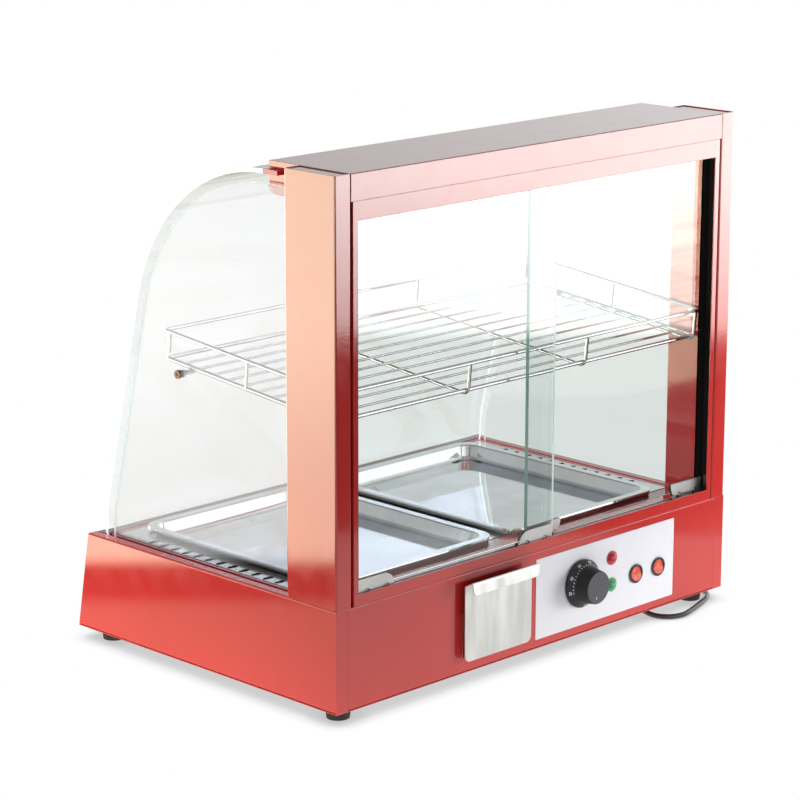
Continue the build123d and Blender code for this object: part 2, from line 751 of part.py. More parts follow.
# Ring round the doors: front strips, with webs that make the channel for the tracks
with BuildPart() as door_frame:
    slab((-FRAME_X, FRAME_X), (REAR, FRAME_FRONT), (BASE_TOP, HEADER_Z))
    slab(
        (SHEET - FRAME_X, FRAME_X - SHEET),
        (INSIDE, FRAME_FRONT),
        (BASE_TOP + SHEET, HEADER_Z - SHEET),
        mode=Mode.SUBTRACT,
    )
    slab((-OPENING_X, OPENING_X), (REAR, INSIDE), (OPENING_LOW, OPENING_HIGH), mode=Mode.SUBTRACT)
save("door_frame", door_frame)

# Door tracks: two running channels below and two guide grooves above
TRACK_SPAN = (INSIDE + TRACK_ROOM, FRAME_FRONT - TRACK_ROOM)
with BuildPart() as lower_track:
    slab((-TRACK_X, TRACK_X), TRACK_SPAN, (TRACK_Z, TRACK_FLOOR + TRACK_RIB))
    for y in DOOR_Y:
        half_groove = WHEEL_W / 2 + GROOVE_ROOM
        slab(
            (-TRACK_X, TRACK_X),
            (y - half_groove, y + half_groove),
            (TRACK_FLOOR, TRACK_FLOOR + TRACK_RIB),
            mode=Mode.SUBTRACT,
        )
save("lower_track", lower_track)

with BuildPart() as upper_track:
    upper_top = HEADER_Z - SHEET
    slab((-TRACK_X, TRACK_X), TRACK_SPAN, (UPPER_TRACK_LOW, upper_top))
    for y in DOOR_Y:
        half_groove = GLASS / 2 + GROOVE_ROOM
        slab(
            (-TRACK_X, TRACK_X),
            (y - half_groove, y + half_groove),
            (UPPER_TRACK_LOW, upper_top - UPPER_ROOF),
            mode=Mode.SUBTRACT,
        )
save("upper_track", upper_track)

# Header body: flange over the door frame, floor, round nose and the jaw that the glass lies on
HEADER_REAR = FRAME_FRONT + FIT
COVER_LOW = HEIGHT - COVER_H
with BuildPart() as header_body:
    with BuildSketch(Plane.YZ):
        with BuildLine():
            FilletPolyline(
                (INSIDE + FIT, HEADER_Z),
                (HEADER_REAR, HEADER_Z),
                (HEADER_REAR, HEADER_LOW),
                (ARC_Y, HEADER_LOW),
                (ARC_Y, JAW_Z),
                (JAW_BACK, JAW_Z),
                (JAW_BACK, HEIGHT - SHEET),
                (JAW_BACK - HEADER_FLANGE, HEIGHT - SHEET),
                radius=(0, BEND, NOSE_R, BEND, BEND, BEND),
            )
            offset(amount=SHEET, side=Side.LEFT)
        make_face()
    extrude(amount=HEADER_X, both=True)
    for plane, depth in ((Plane.YZ.offset(-HEADER_X), SHEET), (Plane.YZ.offset(HEADER_X), -SHEET)):
        with BuildSketch(plane):
            with BuildLine():
                FilletPolyline(
                    (HEADER_REAR, HEADER_LOW),
                    (ARC_Y, HEADER_LOW),
                    (ARC_Y, JAW_Z),
                    (JAW_BACK, JAW_Z),
                    (JAW_BACK, COVER_LOW),
                    (HEADER_REAR, COVER_LOW),
                    radius=(BEND, NOSE_R, BEND, 0, 0, 0),
                    close=True,
                )
            make_face()
        extrude(amount=depth)
    for x_span in ((-HEADER_X, SHEET - HEADER_X), (HEADER_X - SHEET, HEADER_X)):
        slab(x_span, (REAR, ARC_Y), (COVER_LOW, HEIGHT), mode=Mode.SUBTRACT)
save("header_body", header_body)

# Header cover: shallow lid with a deep rear flange
with BuildPart() as header_top:
    slab((-HEADER_X, HEADER_X), (REAR, ARC_Y), (COVER_LOW, HEIGHT))
    slab((-HEADER_X, HEADER_X), (REAR, INSIDE), (HEADER_Z, HEIGHT))
    slab(
        (SHEET - HEADER_X, HEADER_X - SHEET),
        (INSIDE, ARC_Y - SHEET),
        (COVER_LOW, HEIGHT - SHEET),
        mode=Mode.SUBTRACT,
    )
    fillet(header_top.faces().sort_by(Axis.Z)[-1].edges().filter_by(Axis.X), radius=COVER_EDGE)
save("header_top", header_top)

# Light tube between two holders under the header floor
LIGHT_Y = (HEADER_REAR + ARC_Y) / 2
with BuildPart() as light_holders:
    for x in (-1, 1):
        with Locations((x * (LIGHT_L + HOLDER_SIZE[0]) / 2, LIGHT_Y, HEADER_LOW)):
            Box(*HOLDER_SIZE, align=(Align.CENTER, Align.CENTER, Align.MAX))
save("light_holders", light_holders)

with BuildPart() as light_tube:
    with Locations((0, LIGHT_Y, HEADER_LOW - HOLDER_SIZE[2] / 2)):
        Cylinder(LIGHT_D / 2, LIGHT_L, rotation=(0, 90, 0))
save("light_tube", light_tube)

# Side panes: straight rear and foot, and a front edge that follows the bent glass
screw_place = SHELF_PLANE.from_local_coords(
    (0, SCREW_AT, -WIRE_OUT - (CROSS_WIRE + PIN_D) / 2 - BEARING)
)
with BuildPart() as left_glass:
    pane_rear = POST_FRONT - POST_SLOT_DEPTH
    with BuildSketch(Plane.YZ.offset(-PANE_X)):
        with BuildLine():
            low, high = glass_line(SIDE_INSET)
            Polyline(high, (pane_rear, high[1]), (pane_rear, SEAT_Z), low)
        make_face()
        with Locations((screw_place.Y, screw_place.Z)):
            Circle(PIN_D / 2 + FIT, mode=Mode.SUBTRACT)
    extrude(amount=GLASS)
save("left_glass", left_glass)

with BuildPart() as right_glass:
    mirror(left_glass.part, about=Plane.YZ)
save("right_glass", right_glass)

# Bent front glass, from the seat in the base to the jaw of the header
with BuildPart() as front_glass:
    glass_end = JAW_BACK + BEND
    with BuildSketch(Plane.YZ):
        with BuildLine():
            outer_low, outer_high = glass_line(0)
            inner_low, inner_high = glass_line(GLASS)
            Line(outer_low, inner_low)
            Polyline(outer_high, (glass_end, GLASS_TOP), (glass_end, JAW_Z), inner_high)
        make_face()
    extrude(amount=PANE_X, both=True)
    fillet(front_glass.edges().filter_by(Axis.Y).group_by(Axis.Z)[0], radius=GLASS_CORNER_R)
save("front_glass", front_glass)

# Screws through the side panes, under the end wires of the shelf
SCREW_TIP = SHELF_X - END_WIRE_INSET - CROSS_WIRE
with BuildPart() as shelf_screws:
    for side in (-1, 1):
        lengths = (
            (SCREW_HEAD_D, PANE_X, PANE_X + SCREW_HEAD_T),
            (PIN_D, SCREW_TIP, PANE_X),
            (PIN_HEAD_D, PANE_X - GLASS - NUT_T, PANE_X - GLASS),
        )
        for diameter, start, end in lengths:
            with Locations((side * (start + end) / 2, screw_place.Y, screw_place.Z)):
                Cylinder(diameter / 2, end - start, rotation=(0, 90, 0))
save("shelf_screws", shelf_screws)

# Headed pins in the posts, under the shelf rim
with BuildPart() as shelf_pins:
    for side in (-1, 1):
        head_at = RIM_X - RIM_WIRE / 2 - SHELF_ROOM
        lengths = (
            (PIN_D, head_at, POST_X + SHEET),
            (PIN_HEAD_D, head_at - PIN_HEAD_T, head_at),
        )
        for diameter, start, end in lengths:
            with Locations((side * (start + end) / 2, pin_place.Y, pin_place.Z)):
                Cylinder(diameter / 2, end - start, rotation=(0, 90, 0))
save("shelf_pins", shelf_pins)

# Wire shelf: base frame, raised rim, bent cross wires, long wires and mid uprights, welded together
with BuildPart() as shelf:
    end_wire_x = SHELF_X - END_WIRE_INSET
    rim_span = (-WIRE_OUT, SHELF_D + WIRE_OUT)
    with BuildLine(SHELF_PLANE) as base_loop:
        FilletPolyline(
            (-SHELF_X, 0),
            (SHELF_X, 0),
            (SHELF_X, SHELF_D),
            (-SHELF_X, SHELF_D),
            radius=RIM_BEND,
            close=True,
        )
    wire(base_loop.wire(), FRAME_WIRE)
    with BuildLine(SHELF_PLANE.offset(RIM_H)) as rim_loop:
        FilletPolyline(
            (-RIM_X, rim_span[0]),
            (RIM_X, rim_span[0]),
            (RIM_X, rim_span[1]),
            (-RIM_X, rim_span[1]),
            radius=RIM_BEND,
            close=True,
        )
    wire(rim_loop.wire(), RIM_WIRE)
    for x in (-end_wire_x, -end_wire_x / 3, end_wire_x / 3, end_wire_x):
        with BuildLine(SHELF_PLANE) as cross:
            FilletPolyline(
                (x, rim_span[0], RIM_H),
                (x, rim_span[0], -WIRE_OUT),
                (x, rim_span[1], -WIRE_OUT),
                (x, rim_span[1], RIM_H),
                radius=WIRE_BEND,
            )
        wire(cross.wire(), CROSS_WIRE)
    long_z = (CROSS_WIRE + LONG_WIRE) / 2 - WELD - WIRE_OUT
    for row in range(LONG_COUNT):
        y = (row + 1) * SHELF_D / (LONG_COUNT + 1)
        with BuildLine(SHELF_PLANE) as along:
            Line((-SHELF_X, y, long_z), (SHELF_X, y, long_z))
        wire(along.wire(), LONG_WIRE)
    for x in (-RIM_X, RIM_X):
        with BuildLine(SHELF_PLANE) as upright:
            Line((x, SHELF_D / 2, -WELD), (x, SHELF_D / 2, RIM_H))
        wire(upright.wire(), UPRIGHT_WIRE)
save("shelf", shelf)

# Sliding doors: pane, two roller shoes cut away before the rollers, four riveted axles and four rollers each
door_places = (
    ("left", DOOR_Y[0], DOOR_AJAR - DOOR_END),
    ("right", DOOR_Y[1], DOOR_END - DOOR_W),
)
for side, y, start in door_places:
    glass_span = (y - GLASS / 2, y + GLASS / 2)
    shoe_starts = (start + SHOE_INSET, start + DOOR_W - SHOE_INSET - SHOE_L)
    axle_x = [
        shoe + SHOE_L / 2 + offset_x
        for shoe in shoe_starts
        for offset_x in (-WHEEL_SPACING / 2, WHEEL_SPACING / 2)
    ]
    with BuildPart() as door_glass:
        slab((start, start + DOOR_W), glass_span, (DOOR_LOW, DOOR_HIGH))
    save(f"{side}_door_glass", door_glass)

    with BuildPart() as door_shoes:
        shoe_half = GLASS / 2 + SHOE_T
        for shoe, inner_end in zip(shoe_starts, (1, 0)):
            with BuildSketch(Plane.XZ.offset(-y)) as cheek:
                with Locations((shoe, SHOE_LOW)):
                    Rectangle(SHOE_L, SHOE_H, align=(Align.MIN, Align.MIN))
                top_corners = cheek.vertices().group_by(Axis.Z)[-1].sort_by(Axis.X)
                fillet(top_corners[-inner_end], radius=SHOE_R)
            extrude(amount=shoe_half, both=True)
            shoe_span = (shoe, shoe + SHOE_L)
            slab(shoe_span, glass_span, (DOOR_LOW, SHOE_LOW + SHOE_H), mode=Mode.SUBTRACT)
            slab(shoe_span, glass_span, (SHOE_LOW, SHOE_WEB), mode=Mode.SUBTRACT)
        with BuildSketch(Plane.XZ.offset(-glass_span[0])):
            with Locations(*((x, WHEEL_Z) for x in axle_x)):
                Circle(WHEEL_R + NOTCH_ROOM)
        extrude(amount=SHOE_T, mode=Mode.SUBTRACT)
        with BuildSketch(Plane.XZ.offset(-glass_span[1])):
            with Locations(*((x, WHEEL_Z) for x in axle_x)):
                Circle(AXLE_D / 2)
        extrude(amount=-SHOE_T, mode=Mode.SUBTRACT)
    save(f"{side}_door_shoes", door_shoes)

    with BuildPart() as door_axles:
        lengths = (
            (AXLE_D, GLASS + SHOE_T, y + SHOE_T / 2),
            (RIVET_D, SHOE_T, glass_span[0] - SHOE_T / 2),
            (RIVET_D, RIVET_T, y + shoe_half + RIVET_T / 2),
        )
        for diameter, length, middle_y in lengths:
            with Locations(*((x, middle_y, WHEEL_Z) for x in axle_x)):
                Cylinder(diameter / 2, length, rotation=(90, 0, 0))
    save(f"{side}_door_axles", door_axles)

    for number, x in enumerate(axle_x, start=1):
        with BuildPart() as wheel:
            with Locations((x, y, WHEEL_Z)):
                Cylinder(WHEEL_R, WHEEL_W, rotation=(90, 0, 0))
            chamfer(wheel.edges().filter_by(GeomType.CIRCLE), length=WHEEL_EDGE)
            with Locations((x, y, WHEEL_Z)):
                Cylinder(AXLE_D / 2 + AXLE_FIT, WHEEL_W, rotation=(90, 0, 0), mode=Mode.SUBTRACT)
        save(f"{side}_wheel_{number}", wheel)

# Water drawer: front plate with a bent lip, and the open box behind it
PLATE_Y = REAR - DRAWER_OPEN
with BuildPart() as drawer_front:
    lip_y = PLATE_Y - LIP_OUT
    lip_z = DRAWER_HIGH + LIP_RISE
    with BuildSketch(Plane.YZ.offset(DRAWER_X)):
        with BuildLine():
            FilletPolyline(
                (PLATE_Y, DRAWER_LOW),
                (PLATE_Y, DRAWER_HIGH),
                (lip_y, lip_z),
                (lip_y - LIP_LEAN, lip_z - LIP_DROP),
                radius=BEND,
            )
            offset(amount=SHEET, side=Side.LEFT)
        make_face()
    extrude(amount=DRAWER_W / 2, both=True)
    fillet(drawer_front.edges().filter_by(Axis.Y).group_by(Axis.Z)[0], radius=DRAWER_CORNER)
    sheet_edges = drawer_front.edges().filter_by(lambda edge: isclose(edge.length, SHEET))
    fillet(sheet_edges.group_by(Axis.Y)[0], radius=LIP_CORNER)
save("drawer_front", drawer_front)

with BuildPart() as drawer_box:
    slab(
        (DRAWER_X - BOX_W / 2, DRAWER_X + BOX_W / 2),
        (PLATE_Y, PLATE_Y + BOX_L),
        (BOX_LOW, BOX_LOW + BOX_H),
    )
    fillet(drawer_box.edges().filter_by(Axis.Z).group_by(Axis.Y)[-1], radius=BOX_CORNER)
    offset(amount=-BOX_WALL, openings=drawer_box.faces().sort_by(Axis.Z)[-1])
save("drawer_box", drawer_box)

# Drawer guide: floor between two side plates with foot flanges
with BuildPart() as drawer_guide:
    guide_half = BOX_W / 2 + GUIDE_ROOM
    guide_back = REAR + FLANGE + FIT
    guide_span = (guide_back, guide_back + GUIDE_L)
    floor_top = BOX_LOW - GUIDE_GAP
    slab((DRAWER_X - guide_half, DRAWER_X + guide_half), guide_span, (floor_top - SHEET, floor_top))
    for side in (-1, 1):
        near = DRAWER_X + side * guide_half
        far = near + side * SHEET
        toe = near + side * GUIDE_TOE
        slab((min(near, far), max(near, far)), guide_span, (FLOOR_Z, FLOOR_Z + GUIDE_H))
        slab((min(near, toe), max(near, toe)), guide_span, (FLOOR_Z, FLOOR_Z + SHEET))
save("drawer_guide", drawer_guide)

# Thermostat behind the panel, its shaft and the knob with its dial skirt
SKIRT_Y = LABEL_T + KNOB_GAP
with BuildPart() as thermostat_body:
    with Locations((KNOB_X, INSIDE, KNOB_Z)):
        Box(THERMO_SIZE, THERMO_D, THERMO_SIZE, align=(Align.CENTER, Align.MIN, Align.CENTER))
    with BuildSketch(facing(KNOB_X, INSIDE, KNOB_Z)):
        Circle(NECK_D / 2)
    extrude(amount=SHEET + LABEL_T)
    with BuildSketch(facing(KNOB_X, LABEL_FACE, KNOB_Z)):
        Circle(SHAFT_D / 2 + SHAFT_FIT)
    extrude(amount=-SHAFT_IN, mode=Mode.SUBTRACT)
save("thermostat_body", thermostat_body)

with BuildPart() as knob:
    with BuildSketch(turned(KNOB_X, KNOB_Z)):
        with BuildLine():
            Polyline(
                (0, SKIRT_Y),
                (SKIRT_D / 2, SKIRT_Y),
                (SKIRT_D / 2, SKIRT_Y + SKIRT_T),
                (CAP_D / 2, SKIRT_Y + SKIRT_T + CONE_H),
                (CAP_TIP_D / 2, KNOB_OUT),
                (0, KNOB_OUT),
                close=True,
            )
        make_face()
    revolve(axis=across(KNOB_X, KNOB_Z))
    fillet(knob.faces().sort_by(Axis.Y)[0].edges(), radius=KNOB_EDGE)
    with BuildSketch(facing(KNOB_X, REAR - SKIRT_Y, KNOB_Z)):
        Circle(SHAFT_D / 2)
    extrude(amount=SHAFT_OUT, mode=Mode.SUBTRACT)
save("knob", knob)

with BuildPart() as thermostat_shaft:
    with BuildSketch(facing(KNOB_X, LABEL_FACE + SHAFT_IN - FIT, KNOB_Z)):
        Circle(SHAFT_D / 2)
    extrude(amount=SHAFT_IN - FIT + KNOB_GAP + SHAFT_OUT)
save("thermostat_shaft", thermostat_shaft)

# Domed lamps in the label
DOME_H = LAMP_RISE - LAMP_FLANGE_T
DOME_R = ((LAMP_D / 2) ** 2 + DOME_H**2) / (2 * DOME_H)
DOME_EDGE = degrees(acos(LAMP_D / 2 / DOME_R))
for name, z in zip(("red_lamp", "green_lamp"), LAMP_Z):
    with BuildPart() as lamp:
        with BuildSketch(turned(LAMP_X, z)):
            with BuildLine():
                Polyline(
                    (0, LABEL_T + LAMP_RISE),
                    (0, -LAMP_BACK),
                    (LAMP_BARREL / 2, -LAMP_BACK),
                    (LAMP_BARREL / 2, LABEL_T),
                    (LAMP_FLANGE / 2, LABEL_T),
                    (LAMP_FLANGE / 2, LABEL_T + LAMP_FLANGE_T),
                    (LAMP_D / 2, LABEL_T + LAMP_FLANGE_T),
                )
                CenterArc((0, LABEL_T + LAMP_RISE - DOME_R), DOME_R, DOME_EDGE, 90 - DOME_EDGE)
            make_face()
        revolve(axis=across(LAMP_X, z))
    save(name, lamp)

# Round rocker switches: bezel and barrel, and a ball-sided rocker tipping inside on two trunnions
with BuildPart() as switch_bodies:
    for x in SWITCH_X:
        with BuildSketch(turned(x, SWITCH_Z)):
            with BuildLine():
                Polyline(
                    (0, -SWITCH_BACK),
                    (BARREL_D / 2, -SWITCH_BACK),
                    (BARREL_D / 2, LABEL_T),
                    (BEZEL_D / 2, LABEL_T),
                    (BEZEL_D / 2, LABEL_T + BEZEL_T),
                    (ROCKER_BORE / 2, LABEL_T + BEZEL_T),
                    (ROCKER_BORE / 2, REAR - PIVOT_Y - ROCKER_ROOM),
                    (0, REAR - PIVOT_Y - ROCKER_ROOM),
                    close=True,
                )
            make_face()
        revolve(axis=across(x, SWITCH_Z))
        with Locations((x, PIVOT_Y, SWITCH_Z)):
            Cylinder(
                TRUNNION_D / 2 + TRUNNION_FIT,
                2 * (TRUNNION_REACH + TRUNNION_FIT),
                rotation=(0, 90, 0),
                mode=Mode.SUBTRACT,
            )
save("switch_bodies", switch_bodies)

ball_edge = (ROCKER_R**2 - (TRUNNION_D / 2) ** 2) ** 0.5
for name, x in zip(("light_rocker", "heat_rocker"), SWITCH_X):
    with BuildPart() as rocker:
        with BuildSketch(facing(x, PIVOT_Y, SWITCH_Z)):
            with BuildLine():
                Polyline(
                    (-ball_edge, TRUNNION_D / 2),
                    (-TRUNNION_REACH, TRUNNION_D / 2),
                    (-TRUNNION_REACH, 0),
                    (TRUNNION_REACH, 0),
                    (TRUNNION_REACH, TRUNNION_D / 2),
                    (ball_edge, TRUNNION_D / 2),
                )
                ThreePointArc((-ball_edge, TRUNNION_D / 2), (0, ROCKER_R), (ball_edge, TRUNNION_D / 2))
            make_face()
        revolve(axis=Axis((x, PIVOT_Y, SWITCH_Z), (1, 0, 0)))
        with BuildSketch(Plane.YZ.offset(x)):
            with BuildLine():
                Polyline(
                    (PIVOT_Y + ROCKER_BACK, SWITCH_Z - ROCKER_ROOM),
                    (PIVOT_Y - ROCKER_REACH, SWITCH_Z - ROCKER_ROOM),
                    (PIVOT_Y - ROCKER_FACE, SWITCH_Z),
                    (PIVOT_Y - ROCKER_FACE, SWITCH_Z + ROCKER_ROOM),
                    (PIVOT_Y + ROCKER_BACK, SWITCH_Z + ROCKER_ROOM),
                    close=True,
                )
            make_face()
        extrude(amount=TRUNNION_REACH, both=True, mode=Mode.INTERSECT)
    save(name, rocker)

# Tubular heater under the trays, carried by two drilled brackets
with BuildPart() as heating_element:
    left, right, tails = HEATER_X
    with BuildLine(Plane.XY.offset(HEATER_Z)) as heater_path:
        FilletPolyline(
            (tails, HEATER_Y[0]),
            (left, HEATER_Y[0]),
            (left, HEATER_Y[1]),
            (right, HEATER_Y[1]),
            (right, HEATER_Y[2]),
            (left, HEATER_Y[2]),
            (left, HEATER_Y[3]),
            (tails, HEATER_Y[3]),
            radius=HEATER_BENDS,
        )
    wire(heater_path.wire(), HEATER_D)
save("heating_element", heating_element)

with BuildPart() as heater_brackets:
    bracket_y = (HEATER_Y[0] - BRACKET_RIM, HEATER_Y[-1] + BRACKET_RIM)
    for x in BRACKET_X:
        slab((x, x + BRACKET_T), bracket_y, (FLOOR_Z, HEATER_Z + BRACKET_RIM))
        slab((x, x + BRACKET_RIM), bracket_y, (FLOOR_Z, FLOOR_Z + BRACKET_T))
        with BuildSketch(Plane.YZ.offset(x)):
            with Locations(*((y, HEATER_Z) for y in HEATER_Y)):
                Circle(HEATER_D / 2 + HEATER_FIT)
        extrude(amount=BRACKET_T, mode=Mode.SUBTRACT)
save("heater_brackets", heater_brackets)

with BuildPart() as terminal_block:
    with Locations((*TERMINAL_AT, FLOOR_Z)):
        Box(*TERMINAL_SIZE, align=(Align.CENTER, Align.CENTER, Align.MIN))
save("terminal_block", terminal_block)

# Strain relief block under the bottom plate, with a tapered sleeve
with BuildPart() as cord_gland:
    slab((GLAND_X - GLAND_W / 2, GLAND_X + GLAND_W / 2), GLAND_Y, (GLAND_LOW, FOOT_H))
    fillet(cord_gland.edges().filter_by(Axis.Z), radius=GLAND_ROUND)
    relief = facing(GLAND_X, GLAND_Y[0], EXIT_Z)
    with BuildSketch(relief):
        Circle(RELIEF_D / 2)
    with BuildSketch(relief.offset(RELIEF_L)):
        Circle(RELIEF_TIP_D / 2)
    loft()
save("cord_gland", cord_gland)

# Mains lead: the free stretch and the short tail to the plug
with BuildPart() as cord:
    for route in (CORD_ROUTE, TAIL_ROUTE):
        radii = corner_radii(route)
        print("cord radii", [round(radius, 1) for radius in radii])
        with BuildLine() as cord_path:
            FilletPolyline(*route, radius=radii)
        wire(cord_path.wire(), CORD_D)
        print("cord length", round(cord_path.wire().length, 1))
save("cord", cord)

# Put-away coil with its tie
with BuildPart() as cord_coil:
    with Locations((COIL_X, COIL_Y, COIL_Z)):
        Torus(COIL_R, COIL_TUBE_R)
save("cord_coil", cord_coil)

with BuildPart() as cord_tie:
    with BuildSketch(facing(COIL_X + COIL_R, COIL_Y, COIL_Z)):
        Circle(COIL_TUBE_R + TIE_ROOM + TIE_T)
        Circle(COIL_TUBE_R + TIE_ROOM, mode=Mode.SUBTRACT)
    extrude(amount=TIE_W / 2, both=True)
save("cord_tie", cord_tie)

# Two-pin plug lying beside the coil
with BuildPart() as plug:
    body_start = PLUG_RELIEF + PLUG_TAPER
    with BuildSketch(Plane(origin=(PLUG_X, PLUG_Y, PLUG_R))):
        with BuildLine():
            Polyline(
                (0, 0),
                (RELIEF_TIP_D / 2, 0),
                (RELIEF_D / 2, PLUG_RELIEF),
                (PLUG_TIP_R, PLUG_RELIEF),
                (PLUG_R, body_start),
                (PLUG_R, body_start + PLUG_L),
                (0, body_start + PLUG_L),
                close=True,
            )
        make_face()
    revolve(axis=Axis((PLUG_X, PLUG_Y, PLUG_R), (0, 1, 0)))
save("plug", plug)

with BuildPart() as plug_pins:
    pin_y = PLUG_Y + body_start + PLUG_L + PLUG_PIN_L / 2
    for side in (-1, 1):
        with Locations((PLUG_X + side * PLUG_PIN_GAP / 2, pin_y, PLUG_R)):
            Cylinder(PLUG_PIN_D / 2, PLUG_PIN_L, rotation=(90, 0, 0))
save("plug_pins", plug_pins)
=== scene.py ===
import json
import math

import bmesh
import bpy
from mathutils import Matrix, Vector


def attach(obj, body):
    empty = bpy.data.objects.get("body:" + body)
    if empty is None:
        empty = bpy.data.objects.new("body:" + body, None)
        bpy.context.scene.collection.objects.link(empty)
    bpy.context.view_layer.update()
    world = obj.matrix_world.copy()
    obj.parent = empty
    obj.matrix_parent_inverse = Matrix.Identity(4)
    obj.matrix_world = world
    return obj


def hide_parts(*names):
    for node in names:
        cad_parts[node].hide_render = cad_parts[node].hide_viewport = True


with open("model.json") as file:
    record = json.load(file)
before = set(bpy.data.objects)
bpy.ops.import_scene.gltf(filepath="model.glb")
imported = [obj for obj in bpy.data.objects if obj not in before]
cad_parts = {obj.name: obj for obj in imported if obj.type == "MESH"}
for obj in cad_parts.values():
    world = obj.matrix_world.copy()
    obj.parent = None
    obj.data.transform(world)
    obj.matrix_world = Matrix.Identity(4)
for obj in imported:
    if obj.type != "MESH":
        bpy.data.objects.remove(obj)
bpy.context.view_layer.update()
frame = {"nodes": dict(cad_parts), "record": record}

NODES = frame["nodes"]

# Camera at the photograph's viewing angle, from the solved perspective
IMAGE_W = 800
FOCAL_PX = 2909.99
SENSOR_MM = 36.0
CAMERA_AT = (-2.3911, -2.3599, 1.1100)
PITCH_DOWN = 13.974
YAW_RIGHT = 45.06
ROLL = 0.098
FAR_CLIP = 100.0


def make_camera():
    """Camera where the photograph was taken, with the photograph's focal length."""
    data = bpy.data.cameras.new("camera")
    data.sensor_width = SENSOR_MM
    data.lens = FOCAL_PX / IMAGE_W * SENSOR_MM
    data.clip_end = FAR_CLIP
    camera = bpy.data.objects.new("camera", data)
    bpy.context.scene.collection.objects.link(camera)
    turn = Matrix.Rotation(-math.radians(YAW_RIGHT), 4, "Z")
    tilt = Matrix.Rotation(math.radians(90.0 - PITCH_DOWN), 4, "X")
    roll = Matrix.Rotation(math.radians(ROLL), 4, "Z")
    camera.matrix_world = Matrix.Translation(CAMERA_AT) @ turn @ tilt @ roll
    bpy.context.scene.camera = camera


make_camera()

# Mains lead: the free stretch, five turns put away under a tie, and the tail to the plug (metres)
CORD_D = 0.0065
CORD_ROUTE = [
    (0.2080, -0.1700, 0.0082),
    (0.2080, -0.1780, 0.0078),
    (0.2080, -0.1865, 0.0063),
    (0.2079, -0.1959, 0.0042),
    (0.2104, -0.2069, 0.0035),
    (0.2170, -0.2164, 0.0035),
    (0.2273, -0.2226, 0.0035),
    (0.2400, -0.2243, 0.0035),
    (0.2560, -0.2203, 0.0035),
    (0.2750, -0.2144, 0.0035),
    (0.2940, -0.2080, 0.0035),
    (0.3110, -0.2008, 0.0035),
    (0.3225, -0.1925, 0.0035),
    (0.3290, -0.1805, 0.0035),
    (0.3335, -0.1630, 0.0035),
    (0.3400, -0.1350, 0.0035),
    (0.3505, -0.1060, 0.0035),
    (0.3645, -0.0780, 0.0035),
    (0.3708, -0.0480, 0.0035),
    (0.3729, -0.0220, 0.0050),
    (0.3732, 0.0000, 0.0070),
]
TAIL_ROUTE = [
    (0.3732, 0.0200, 0.0146),
    (0.3736, 0.0330, 0.0152),
    (0.3756, 0.0460, 0.0162),
    (0.3782, 0.0590, 0.0173),
    (0.3790, 0.0710, 0.0180),
    (0.3790, 0.0820, 0.0180),
]
COIL_CENTRE = Vector((0.4150, 0.0100, 0.0110))
COIL_R = 0.0360
COIL_LANE = 0.0067
COIL_TURNS = 5
COIL_STEPS = 16
LANE_START = -30.0
LANE_STEP = -60.0


def coil_points():
    """Turns that lie beside and on each other round the ring, one lane further with every turn."""
    points = []
    for step in range(COIL_TURNS * COIL_STEPS + 1):
        turns = step / COIL_STEPS
        around = math.pi - 2 * math.pi * turns
        lane = math.radians(LANE_START + LANE_STEP * turns)
        radius = COIL_R + COIL_LANE * math.cos(lane)
        across = Vector((radius * math.cos(around), radius * math.sin(around), COIL_LANE * math.sin(lane)))
        points.append(COIL_CENTRE + across)
    return points


def make_cord():
    """The lead as one smooth spline through its route, its turns and its tail."""
    points = [*CORD_ROUTE, *coil_points(), *TAIL_ROUTE]
    curve = bpy.data.curves.new("mains_lead", "CURVE")
    curve.dimensions = "3D"
    curve.bevel_depth = 1.0
    curve.bevel_resolution = 5
    curve.resolution_u = 6
    curve.use_fill_caps = True
    spline = curve.splines.new("NURBS")
    spline.points.add(len(points) - 1)
    for control, point in zip(spline.points, points):
        control.co = (*point, 1.0)
        control.radius = CORD_D / 2
    spline.order_u = 3
    spline.use_endpoint_u = True
    lead = bpy.data.objects.new("mains_lead", curve)
    bpy.context.scene.collection.objects.link(lead)
    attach(lead, "case")
    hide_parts("cord", "cord_coil")
    return lead


lead = make_cord()


# Dial marks on the sloping skirt of the knob (metres and degrees; skirt points as radius and y)
KNOB_X, KNOB_Z = 0.067, 0.078
SKIRT_RIM = (0.0290, -0.2115)
SKIRT_FOOT = (0.0220, -0.2185)
KNOB_FACE = -0.2350
MARK_THICK = 0.00006
DIAL_NUMBERS = (30, 40, 50, 60, 70, 80, 90, 100)
DIAL_START = -104.0
NUMBER_STEP = 40.0
DOTS_A_NUMBER = 4
NUMBER_HEIGHT = 0.0034
DIGIT_SHARE = 0.7
NUMBER_BOLD = 0.00010
NUMBER_SLANT = 0.0052
DOT_SLANT = 0.0074
DOT_R = 0.00072
DOT_SIDES = 12
TICK_W, TICK_L = 0.0009, 0.0036
TICK_R = 0.0125
TICK_TURN = 196.0


def on_skirt(turn, across, slant, proud):
    """Point on the skirt at a clock angle, so far round from it, in from the rim and off the skirt."""
    rim, foot = Vector(SKIRT_RIM), Vector(SKIRT_FOOT)
    slope = (foot - rim).normalized()
    out = Vector((-slope.y, slope.x))
    radius, y = rim + slope * slant + out * proud
    angle = math.radians(turn) + across / radius
    return Vector((KNOB_X + radius * math.sin(angle), y, KNOB_Z + radius * math.cos(angle)))


def number_mesh(number):
    """Flat numeral of a small thickness, centred on its foot."""
    text = bpy.data.curves.new("number", "FONT")
    text.body = str(number)
    text.size = NUMBER_HEIGHT / DIGIT_SHARE
    text.align_x = "CENTER"
    text.extrude = MARK_THICK
    text.offset = NUMBER_BOLD
    text.resolution_u = 4
    holder = bpy.data.objects.new("number", text)
    mesh = bpy.data.meshes.new_from_object(holder)
    bpy.data.objects.remove(holder)
    return mesh


